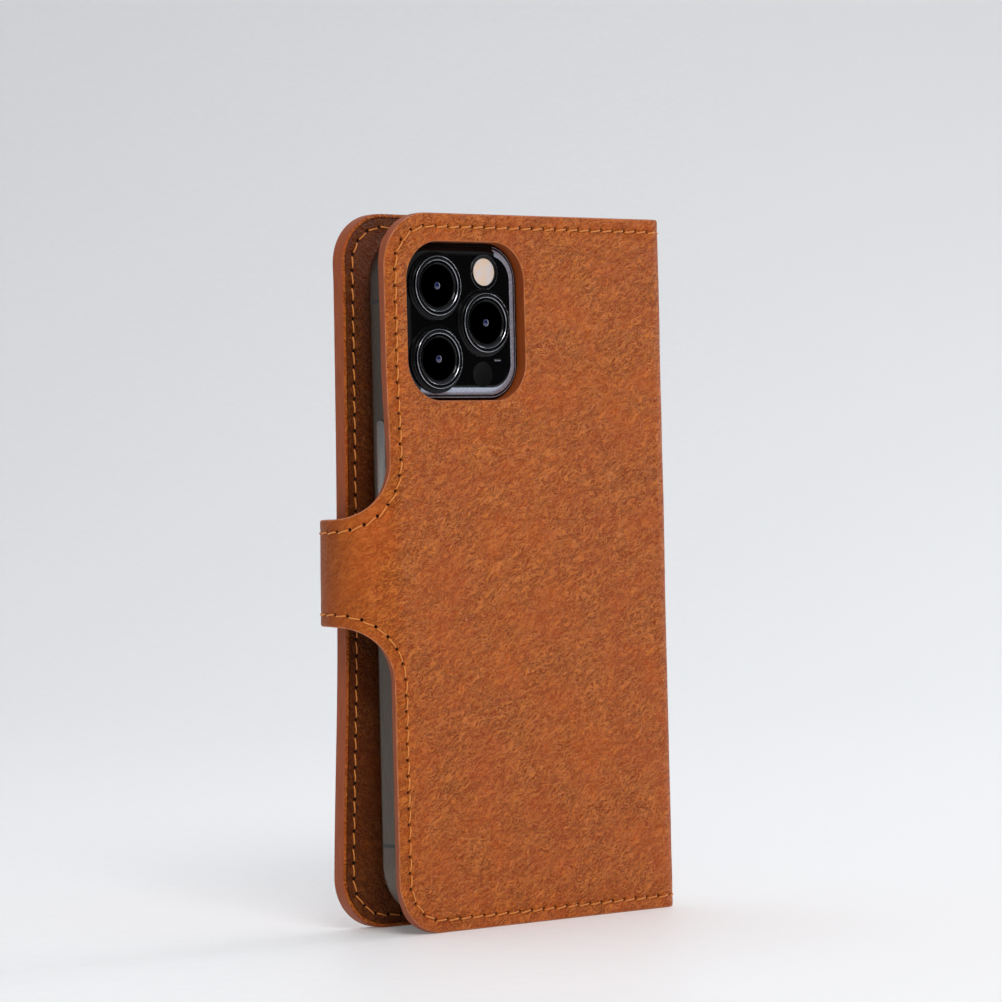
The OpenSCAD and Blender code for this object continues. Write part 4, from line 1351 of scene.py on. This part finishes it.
def make_stage():
    """A pale sweep that glows by emission, evenly and a little more towards the right; the extra glow on the
    right is painted light.
    """
    s = Shader("floor", Roughness=0.5)
    s.set("Specular IOR Level", 0.25)
    at = s.place()
    dust = s.ramp(s.noise(at, 220.0, 3.0), 0.35, 0.65, 0.0, 0.3)
    s.set("Base Color", s.mix(dust, rgb(240, 241, 243), rgb(234, 235, 238)))
    s.set("Emission Color", rgb(255, 252, 248))
    # extra emission towards the right: painted light on the backdrop
    to_right = s.ramp(s.dot(at, (*SIDE, 0.0)), -0.45, 0.45, 0.0, GLOW_RIGHT)
    s.set("Emission Strength", s.math("ADD", to_right, GLOW))
    back, lift, radius = 2.6, 3.2, 1.9  # metres
    prof = [(-3.5, 0.0), (0.0, 0.0), (back - radius, 0.0)]
    for k in range(1, 25):
        a = k / 24 * math.pi / 2
        prof.append((back - radius + radius * math.sin(a), radius - radius * math.cos(a)))
    prof.append((back, lift))
    co = [(*(AHEAD * d + SIDE * w), z) for w in (-4.0, 4.0) for d, z in prof]
    n = len(prof)
    faces = [(k, k + 1, n + k + 1, n + k) for k in range(n - 1)]
    floor = add_mesh("floor", np.array(co), faces, material=s.mat)


def area(name, at, size, power, colour):
    """A rectangular light that faces the object. Places and sizes in metres, power in watts."""
    data = bpy.data.lights.new(name, "AREA")
    data.shape = "RECTANGLE"
    data.size, data.size_y = size
    data.energy, data.color = power, colour
    obj = bpy.data.objects.new(name, data)
    obj.location = at
    obj.rotation_mode = "QUATERNION"
    obj.rotation_quaternion = (Vector(CENTRE) - Vector(at)).to_track_quat("-Z", "Y")
    bpy.context.scene.collection.objects.link(obj)


def make_world():
    """Even studio light that falls off towards the front right, which keeps the glass black."""
    data = bpy.data.worlds.new("studio")
    data.use_nodes = True
    tree = data.node_tree
    back = tree.nodes["Background"]
    way = tree.nodes.new("ShaderNodeTexCoord").outputs["Generated"]
    dot = tree.nodes.new("ShaderNodeVectorMath")
    dot.operation = "DOT_PRODUCT"
    tree.links.new(way, dot.inputs[0])
    dot.inputs[1].default_value = FLAG_WAY
    ramp = tree.nodes.new("ShaderNodeMapRange")
    ramp.interpolation_type = "SMOOTHSTEP"
    ends = {"From Min": 0.80, "From Max": 0.96, "To Min": WORLD_LIGHT, "To Max": WORLD_DARK}
    for key, value in ends.items():
        ramp.inputs[key].default_value = value
    tree.links.new(dot.outputs["Value"], ramp.inputs["Value"])
    tree.links.new(ramp.outputs["Result"], back.inputs["Strength"])
    back.inputs["Color"].default_value = rgb(232, 235, 240)
    bpy.context.scene.world = data


GLOW, GLOW_RIGHT = 0.075, 0.065
WORLD_LIGHT, WORLD_DARK = 0.46, 0.04
FLAG_WAY = (0.66, -0.75, -0.05)
CENTRE = (0.0, 0.0, 0.08)
make_stage()
make_world()
area("key_softbox", (-0.75, -1.3, 1.25), (0.8, 0.7), 16.2, (1.0, 0.975, 0.94))
area("side_softbox", (1.5, -0.1, 0.6), (0.5, 1.2), 6.0, (0.93, 0.97, 1.0))
area("top_softbox", (0.2, 0.3, 1.8), (1.6, 1.6), 9.0, (0.98, 0.99, 1.0))
bpy.context.scene.view_settings.view_transform = "Standard"
